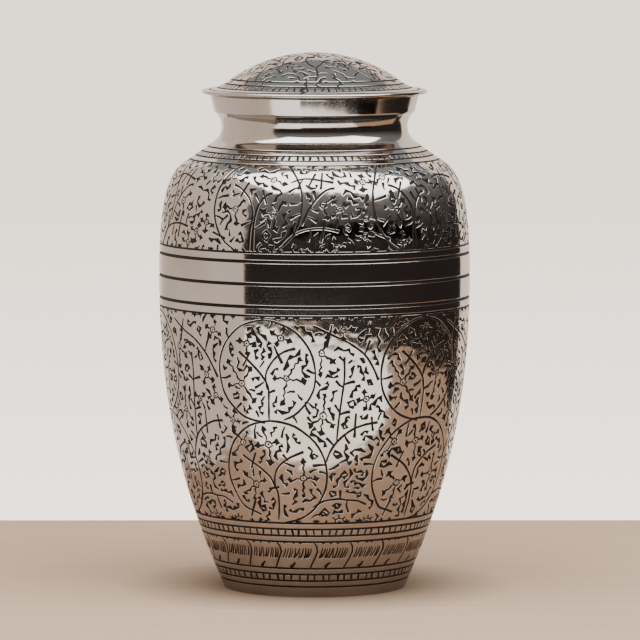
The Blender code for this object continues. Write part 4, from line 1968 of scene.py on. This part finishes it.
@dataclass
class UrnLid:
    """The lid: engraved dome and flare, turned rim, seat, plug and hollow."""

    shape: LidShape = field(default_factory=LidShape)
    mouth_height: float = 246.55
    repeats: int = 4
    dashes: int = 85

    def __post_init__(self) -> None:
        """Work out the outline."""
        self.outline = self.shape.outline(self.mouth_height)
        rim = self.outline.where(0, self.shape.rim_radius - self.shape.rim_thickness / 2,
                                 self.shape.rim_thickness)
        self.reach = self.outline.total - rim
        radii = [self.shape.rim_radius - step * self.shape.line_pitch
                 for step in (1, 2, 3)] + [self.shape.dome_radius]
        self.levels = [self.outline.total - self.outline.where(0, radius, rim)
                       for radius in radii]

    def engrave(self, sheet: DiscSheet, rows: StrokeRow) -> None:
        """Engrave the dome's vine and the band of dashes."""
        graver = Graver(sheet, LID_SEED)
        dome = self.levels[3]
        for repeat in range(self.repeats):
            turn = math.tau * repeat / self.repeats
            matrix = np.array(((math.cos(turn), math.sin(turn)),
                               (-math.sin(turn), math.cos(turn))))
            graver.project = lambda points, by=matrix: points @ by
            graver.stem([(8, -7), (13, -13), (15.5, -20), (21, -26), (30.2, -31.2)], 0.7)
            graver.stem([(-8.5, -8), (-15, -16), (-16.5, -24), (-21, -28.5),
                         (-28.8, -31.5)], 0.7)
            graver.stem([(0.5, -42.5), (1.5, -36), (0.5, -31), (3.6, -26.5), (4.6, -22),
                         (8.2, -19)])
            graver.stem([(1.0, -31.5), (-3.2, -26), (-4.4, -21), (-3.2, -15)])
            graver.stem([(-7.5, -42), (-9, -37), (-13.5, -34), (-17, -35.5)])
            graver.stem([(17, -39), (14.5, -34.5), (9.5, -32)])
            for first, second in (((-6.5, -23.5), (-1.0, -20.5)), ((2.0, -21), (7, -24.5)),
                                  ((17.5, -17), (11.5, -19.5))):
                graver.tick(first, second)
            for root, tip in (((15, -19), (9.5, -16)), ((17, -22), (21, -18.5)),
                              ((-15.8, -19), (-21, -17.5)), ((-16, -21), (-11.5, -24)),
                              ((-18.5, -26.5), (-23.5, -22.5)), ((1.4, -37), (6.5, -36)),
                              ((1.0, -35), (-3.5, -33)), ((23, -27.5), (20.5, -33))):
                graver.club(root, tip)
            graver.flower((-9.5, -28.5), ((-5.8, -31.5), (-12.5, -21.5), (-10, -33)), 2.2)
            graver.flower((10.5, -26), ((6.5, -29.5), (15.5, -29.5), (10, -20.5)), 2.2)
            graver.flower((25, -20.5), ((29.5, -24.5), (22, -14.5), (31, -17)), 2.3)
            for along in (-33, -12, 8, 27):
                angle = math.radians(along)
                foot = (dome - 0.4) * np.array((math.sin(angle), -math.cos(angle)))
                graver.leaf(foot, 1.7)
        graver.project = lambda points: points
        graver.flower((0.0, 0.0), ((0, 6), (5.5, 1.5), (3, -5.5), (-4, -5), (-5.5, 2)), 2.4)

        def pick(hand: random.Random) -> tuple[np.ndarray, np.ndarray]:
            """A random place on the dome."""
            away = (dome - 1.6) * math.sqrt(hand.random())
            angle = hand.uniform(0.0, math.tau)
            place = away * np.array((math.sin(angle), -math.cos(angle)))
            return place, place

        graver.fill(pick, DOME_GROUND)
        low, high = self.levels[2], self.levels[1]
        middle, half = (low + high) / 2, (high - low) / 2 + 0.2
        stencil = ribbon(np.array(((0.0, -half), (0.0, 0.0), (0.0, half))),
                         np.array((0.6, 0.95, 0.8)))

        def round_dome(points: np.ndarray) -> np.ndarray:
            """Bend the row of dashes round the dome."""
            angle = points[:, 0] / middle
            away = middle + points[:, 1]
            return np.column_stack((away * np.sin(angle), -away * np.cos(angle)))

        graver.project = round_dome
        pitch = math.tau * middle / self.dashes
        for stroke in rows.strokes(stencil, self.dashes, pitch, 0.15, 0.12, 14):
            graver.cut(stroke)
        LOG.info("lid: %d strokes", len(sheet.strokes))

    def turned_part(self, lathe: Lathe) -> tuple[np.ndarray, list]:
        """Hollow, plug, seat and the round edge of the rim."""
        shape = self.shape
        seat = self.mouth_height + shape.seat_gap
        plug_inside = shape.plug_radius - shape.plug_wall
        foot = seat - shape.plug_length
        fine = np.linspace(0.0, self.outline.total, 700)
        hollow = self.outline.at(fine) - shape.wall * self.outline.normal(fine)
        hollow = hollow[(hollow[:, 0] < plug_inside - shape.chamfer)
                        & (hollow[:, 1] > seat + shape.rim_thickness)]
        inner = Outline.through(hollow[::-1])
        roof = inner.at(inner.rows(0.0, inner.total, 6.0, math.radians(8)))
        roof[0, 0] = 0.0
        under = np.array([(plug_inside, roof[-1, 1] - shape.chamfer), (plug_inside, foot),
                          (shape.plug_radius - shape.chamfer, foot),
                          (shape.plug_radius, foot + shape.chamfer),
                          (shape.plug_radius, seat)])
        rim = self.outline.at(self.outline.rows(
            0.0, self.outline.total - self.reach, 2.0, math.radians(15)))
        return lathe.turn(np.vstack((roof, under, rim)), math.radians(32))

    def build(self, lathe: Lathe, rows: StrokeRow,
              materials: Sequence[bpy.types.Material]) -> bpy.types.Object:
        """Make the dressed lid.

        Args:
            lathe: Turns the plain parts.
            rows: Repeats the dashes.
            materials: Bright metal and blackened grooves.

        Returns:
            The piece.
        """
        sheet = DiscSheet(Cap(self.outline), [RingGroove(level) for level in self.levels],
                          self.reach)
        self.engrave(sheet, rows)
        shell = Shell()
        shell.add(*sheet.part())
        shell.add(*self.turned_part(lathe))
        return shell.build("engraved_lid", materials)


# The studio

WARM_WHITE: Colour = (1.0, 0.86, 0.745, 1.0)
ROOM_GLOW = 2.05


@dataclass(frozen=True)
class Studio:
    """Pale table and wall, soft lights and the camera.

    Lengths are in metres. The shadow painted round the foot on the table starts and ends
    at two distances from the axis, and the third value is its brightness.
    """

    table_back: float = 0.26
    clear_within: float = 0.043
    painted_foot_shadow: tuple[float, float, float] = (0.044, 0.1, 0.42)
    mirrored_height: float = -0.0005
    wall_at: float = 2.5
    card_at: float = -1.2

    def panel(self, name: str, corners: Sequence[tuple[float, float, float]],
              material: bpy.types.Material) -> bpy.types.Object:
        """Make a flat panel that isn't part of the urn."""
        mesh = bpy.data.meshes.new(name)
        mesh.from_pydata(corners, [], [range(len(corners))])
        mesh.materials.append(material)
        made = bpy.data.objects.new(name, mesh)
        bpy.context.scene.collection.objects.link(made)
        return made

    @staticmethod
    def sweep(first: float, last: float, reach: tuple[float, float], height: float
              ) -> list[tuple[float, float, float]]:
        """Points round the urn at a height, between two azimuths in degrees."""
        return [(radius * math.sin(turn), -radius * math.cos(turn), height)
                for radius, turn in zip(np.linspace(*reach, 12),
                                        np.radians(np.linspace(first, last, 12)))]

    def glow(self, name: str, colour: Colour, strength: float) -> bpy.types.Material:
        """A material that shines evenly."""
        made = bpy.data.materials.new(name)
        made.use_nodes = True
        tree = made.node_tree
        tree.nodes.remove(tree.nodes["Principled BSDF"])
        shine = add_node(tree, "ShaderNodeEmission",
                         {"Color": colour, "Strength": strength})
        tree.links.new(shine.outputs[0], tree.nodes["Material Output"].inputs["Surface"])
        return made

    def table(self) -> None:
        """Lay a pale table top, and one that only the metal reflects.

        Both are clear from below and under the urn's foot. Rays other than the camera's see
        them in a darker colour, which is painted shade.
        """
        made = bpy.data.materials.new("pale_table")
        made.use_nodes = True
        tree = made.node_tree
        shader = tree.nodes["Principled BSDF"]
        shader.inputs["Roughness"].default_value = 0.42
        shader.inputs["Specular IOR Level"].default_value = 0.0
        where = add_node(tree, "ShaderNodeTexCoord")
        stretch = add_node(tree, "ShaderNodeMapping", {"Scale": (1.0, 9.0, 1.0)})
        grain = add_node(tree, "ShaderNodeTexNoise", {"Scale": 9.0, "Detail": 6.0})
        mix = add_node(tree, "ShaderNodeMix",
                       {6: (0.51, 0.365, 0.255, 1.0), 7: (0.45, 0.32, 0.22, 1.0)},
                       data_type="RGBA")
        ray = add_node(tree, "ShaderNodeLightPath")
        # Painted shade: every ray but the camera's, the metal's reflections among them,
        # sees the table in this darker colour, as if the urn shadowed it.
        shade = add_node(tree, "ShaderNodeMix", {6: (0.29, 0.195, 0.135, 1.0)},
                         data_type="RGBA")
        # Painted shadow: the table's colour is dimmed near the urn's foot, to the third
        # value at the first distance and not at all beyond the second.
        close = add_node(tree, "ShaderNodeMapRange",
                         {"From Min": self.painted_foot_shadow[0],
                          "From Max": self.painted_foot_shadow[1],
                          "To Min": self.painted_foot_shadow[2]})
        dim = add_node(tree, "ShaderNodeHueSaturation")
        clear = add_node(tree, "ShaderNodeBsdfTransparent")
        side = add_node(tree, "ShaderNodeNewGeometry")
        away = add_node(tree, "ShaderNodeVectorMath", operation="LENGTH")
        under = add_node(tree, "ShaderNodeMath", {1: self.clear_within},
                         operation="LESS_THAN")
        either = add_node(tree, "ShaderNodeMath", operation="MAXIMUM")
        choose = add_node(tree, "ShaderNodeMixShader")
        link_chain(
            tree,
            (where.outputs["Object"], stretch.inputs["Vector"]),
            (stretch.outputs[0], grain.inputs["Vector"]),
            (grain.outputs[0], mix.inputs[0]),
            (mix.outputs[2], shade.inputs[7]),
            (ray.outputs["Is Camera Ray"], shade.inputs[0]),
            (away.outputs["Value"], close.inputs["Value"]),
            (close.outputs[0], dim.inputs["Value"]),
            (shade.outputs[2], dim.inputs["Color"]),
            (dim.outputs[0], shader.inputs["Base Color"]),
            (where.outputs["Object"], away.inputs[0]),
            (away.outputs["Value"], under.inputs[0]),
            (under.outputs[0], either.inputs[0]),
            (side.outputs["Backfacing"], either.inputs[1]),
            (either.outputs[0], choose.inputs[0]),
            (shader.outputs[0], choose.inputs[1]),
            (clear.outputs[0], choose.inputs[2]),
            (choose.outputs[0], tree.nodes["Material Output"].inputs["Surface"]))
        back = self.table_back
        top = self.panel("table", ((-1.5, -1.5, 0), (1.5, -1.5, 0), (1.5, back, 0),
                                   (-1.5, back, 0)), made)
        top.visible_glossy = False
        low = self.mirrored_height
        mirrored = self.panel(
            "table_in_the_metal", (*self.sweep(-13.6, 55.0, (0.87, 0.62), low),
                                   (0.6, -0.3, low), (0.6, back, low),
                                   (-0.205, back, low)), made)
        mirrored.visible_camera = False
        mirrored.visible_diffuse = False
        mirrored.visible_shadow = False

    def wall(self) -> None:
        """Hang a pale wall behind the table, clear from its own back; painted light
        brightens it low down.
        """
        made = self.glow("pale_wall", WARM_WHITE, ROOM_GLOW)
        tree = made.node_tree
        where = add_node(tree, "ShaderNodeTexCoord")
        split = add_node(tree, "ShaderNodeSeparateXYZ")
        # Painted light: to the camera the wall glows brighter towards the bottom; all other
        # rays see it evenly at 1.35.
        fall = add_node(tree, "ShaderNodeMapRange",
                        {"From Min": -0.3, "From Max": 0.02, "To Min": 3.1, "To Max": 2.08})
        ray = add_node(tree, "ShaderNodeLightPath")
        seen = add_node(tree, "ShaderNodeMix", {2: 1.35})
        side = add_node(tree, "ShaderNodeNewGeometry")
        clear = add_node(tree, "ShaderNodeBsdfTransparent")
        choose = add_node(tree, "ShaderNodeMixShader")
        link_chain(tree, (where.outputs["Object"], split.inputs[0]),
                   (split.outputs["Z"], fall.inputs["Value"]),
                   (fall.outputs[0], seen.inputs[3]),
                   (ray.outputs["Is Camera Ray"], seen.inputs[0]),
                   (seen.outputs[0], tree.nodes["Emission"].inputs["Strength"]),
                   (side.outputs["Backfacing"], choose.inputs[0]),
                   (tree.nodes["Emission"].outputs[0], choose.inputs[1]),
                   (clear.outputs[0], choose.inputs[2]),
                   (choose.outputs[0], tree.nodes["Material Output"].inputs["Surface"]))
        at = self.wall_at
        self.panel("wall", ((-1.6, at, -1.2), (2.3, at, -1.2), (2.3, at, 2.9),
                            (-1.6, at, 2.9)), made)

    def cards(self) -> None:
        """Stand the white cards that the metal reflects, unseen by the camera."""
        left = self.glow("left_card_white", WARM_WHITE, 0.95)
        low = self.glow("low_card_white", (1.0, 0.93, 0.86, 1.0), 2.3)
        top = self.glow("softbox_white", (0.98, 0.985, 1.0, 1.0), 5.6)
        black = self.glow("flag_black", (0.0, 0.0, 0.0, 1.0), 0.0)
        self.collar_flag(black).visible_camera = False
        below = self.glow("bounce_white", (1.0, 0.95, 0.88, 1.0), 0.8)
        over = self.glow("ceiling_grey", (0.9, 0.95, 1.0, 1.0), 0.4)
        at = self.card_at
        for made, lights_urn in (
                (self.panel("left_card", ((at, self.wall_at, -0.9), (at, -0.94, -0.9),
                                          (at, -0.94, 2.0), (at, self.wall_at, 2.0)), left),
                 True),
                (self.panel("low_card", ((-0.19, -0.17, 0.002),
                                         *self.sweep(-51.0, 55.0, (0.85, 0.60), 0.002),
                                         (0.22, -0.17, 0.002)), low), False),
                (self.panel("softbox", ((-1.0, -1.45, 1.3), (-1.0, 0.15, 1.3),
                                        (1.8, 0.15, 1.3), (1.8, -1.45, 1.3)), top), True),
                (self.panel("bounce", ((-0.5, -0.5, -0.6), (0.5, -0.5, -0.6),
                                       (0.5, 0.5, -0.6), (-0.5, 0.5, -0.6)), below), True),
                (self.panel("ceiling", ((-1.2, 0.2, 2.0), (-1.2, 2.4, 2.0),
                                        (1.8, 2.4, 2.0), (1.8, 0.2, 2.0)), over), True)):
            made.visible_camera = False
            made.visible_diffuse = lights_urn
            made.visible_shadow = lights_urn

    def collar_flag(self, black: bpy.types.Material) -> bpy.types.Object:
        """Hold up a black strip that only the collar's upper half reflects."""
        low = np.interp(np.arange(12), (0, 6, 8, 10, 11),
                        (187.4, 186.6, 184.2, 182.6, 184.0))
        edge = [(x, y, z * MM) for (x, y, _), z in
                zip(self.sweep(-14.0, 66.0, (0.15, 0.15), 0.0), low)]
        top = [(x, y, 0.201) for x, y, _ in reversed(edge)]
        return self.panel("collar_flag", (*edge, *top), black)

    def surroundings(self) -> None:
        """Make the room dark to the metal and pale to the camera."""
        world = bpy.data.worlds.new("room")
        bpy.context.scene.world = world
        world.use_nodes = True
        tree = world.node_tree
        dark = tree.nodes["Background"]
        where = add_node(tree, "ShaderNodeTexCoord")
        split = add_node(tree, "ShaderNodeSeparateXYZ")
        rise = add_node(tree, "ShaderNodeMapRange", {"From Min": 0.04, "From Max": 0.42})
        blend = add_node(tree, "ShaderNodeMix",
                         {6: (0.033, 0.026, 0.024, 1.0), 7: (0.25, 0.24, 0.235, 1.0)},
                         data_type="RGBA")
        pale = add_node(tree, "ShaderNodeBackground",
                        {"Color": WARM_WHITE, "Strength": ROOM_GLOW})
        ray = add_node(tree, "ShaderNodeLightPath")
        choose = add_node(tree, "ShaderNodeMixShader")
        link_chain(tree, (where.outputs["Generated"], split.inputs[0]),
                   (split.outputs["Z"], rise.inputs["Value"]),
                   (rise.outputs[0], blend.inputs[0]),
                   (blend.outputs[2], dark.inputs["Color"]),
                   (ray.outputs["Is Camera Ray"], choose.inputs[0]),
                   (dark.outputs[0], choose.inputs[1]), (pale.outputs[0], choose.inputs[2]),
                   (choose.outputs[0], tree.nodes["World Output"].inputs["Surface"]))

    def camera(self) -> None:
        """Set the camera as the photograph was taken."""
        lens = bpy.data.cameras.new("camera")
        lens.lens = 315.84
        lens.sensor_width = 36.0
        lens.clip_end = 50.0
        made = bpy.data.objects.new("camera", lens)
        made.location = (0.0, -2.7945, 0.3844)
        made.rotation_euler = (math.radians(90 - 5.131), 0.0, math.radians(-0.056))
        bpy.context.scene.collection.objects.link(made)
        bpy.context.scene.camera = made

    def build(self) -> None:
        """Set up the whole studio."""
        self.camera()
        self.table()
        self.wall()
        self.cards()
        self.surroundings()


def attach(piece: bpy.types.Object, node: str) -> None:
    """Put a finished piece in the place of its CAD node."""
    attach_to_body(piece, "root")
    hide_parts(node)
    LOG.info("%s stands for %s", piece.name, node)


def main() -> None:
    """Build the urn and its studio."""
    logging.basicConfig(level=logging.INFO, format="%(name)s: %(message)s")
    lathe, rows = Lathe(), StrokeRow()
    grain, tarnish = FineGrain(), Tarnish()
    materials = [NICKEL.make(grain, tarnish), BLACKENED.make(grain, tarnish)]
    body = UrnBody()
    for piece in body.build(lathe, rows, materials):
        attach(piece, "urn_body")
    lid = UrnLid(mouth_height=body.shape.mouth_height)
    attach(lid.build(lathe, rows, materials), "lid")
    Studio().build()


if __name__ == "__main__":
    main()
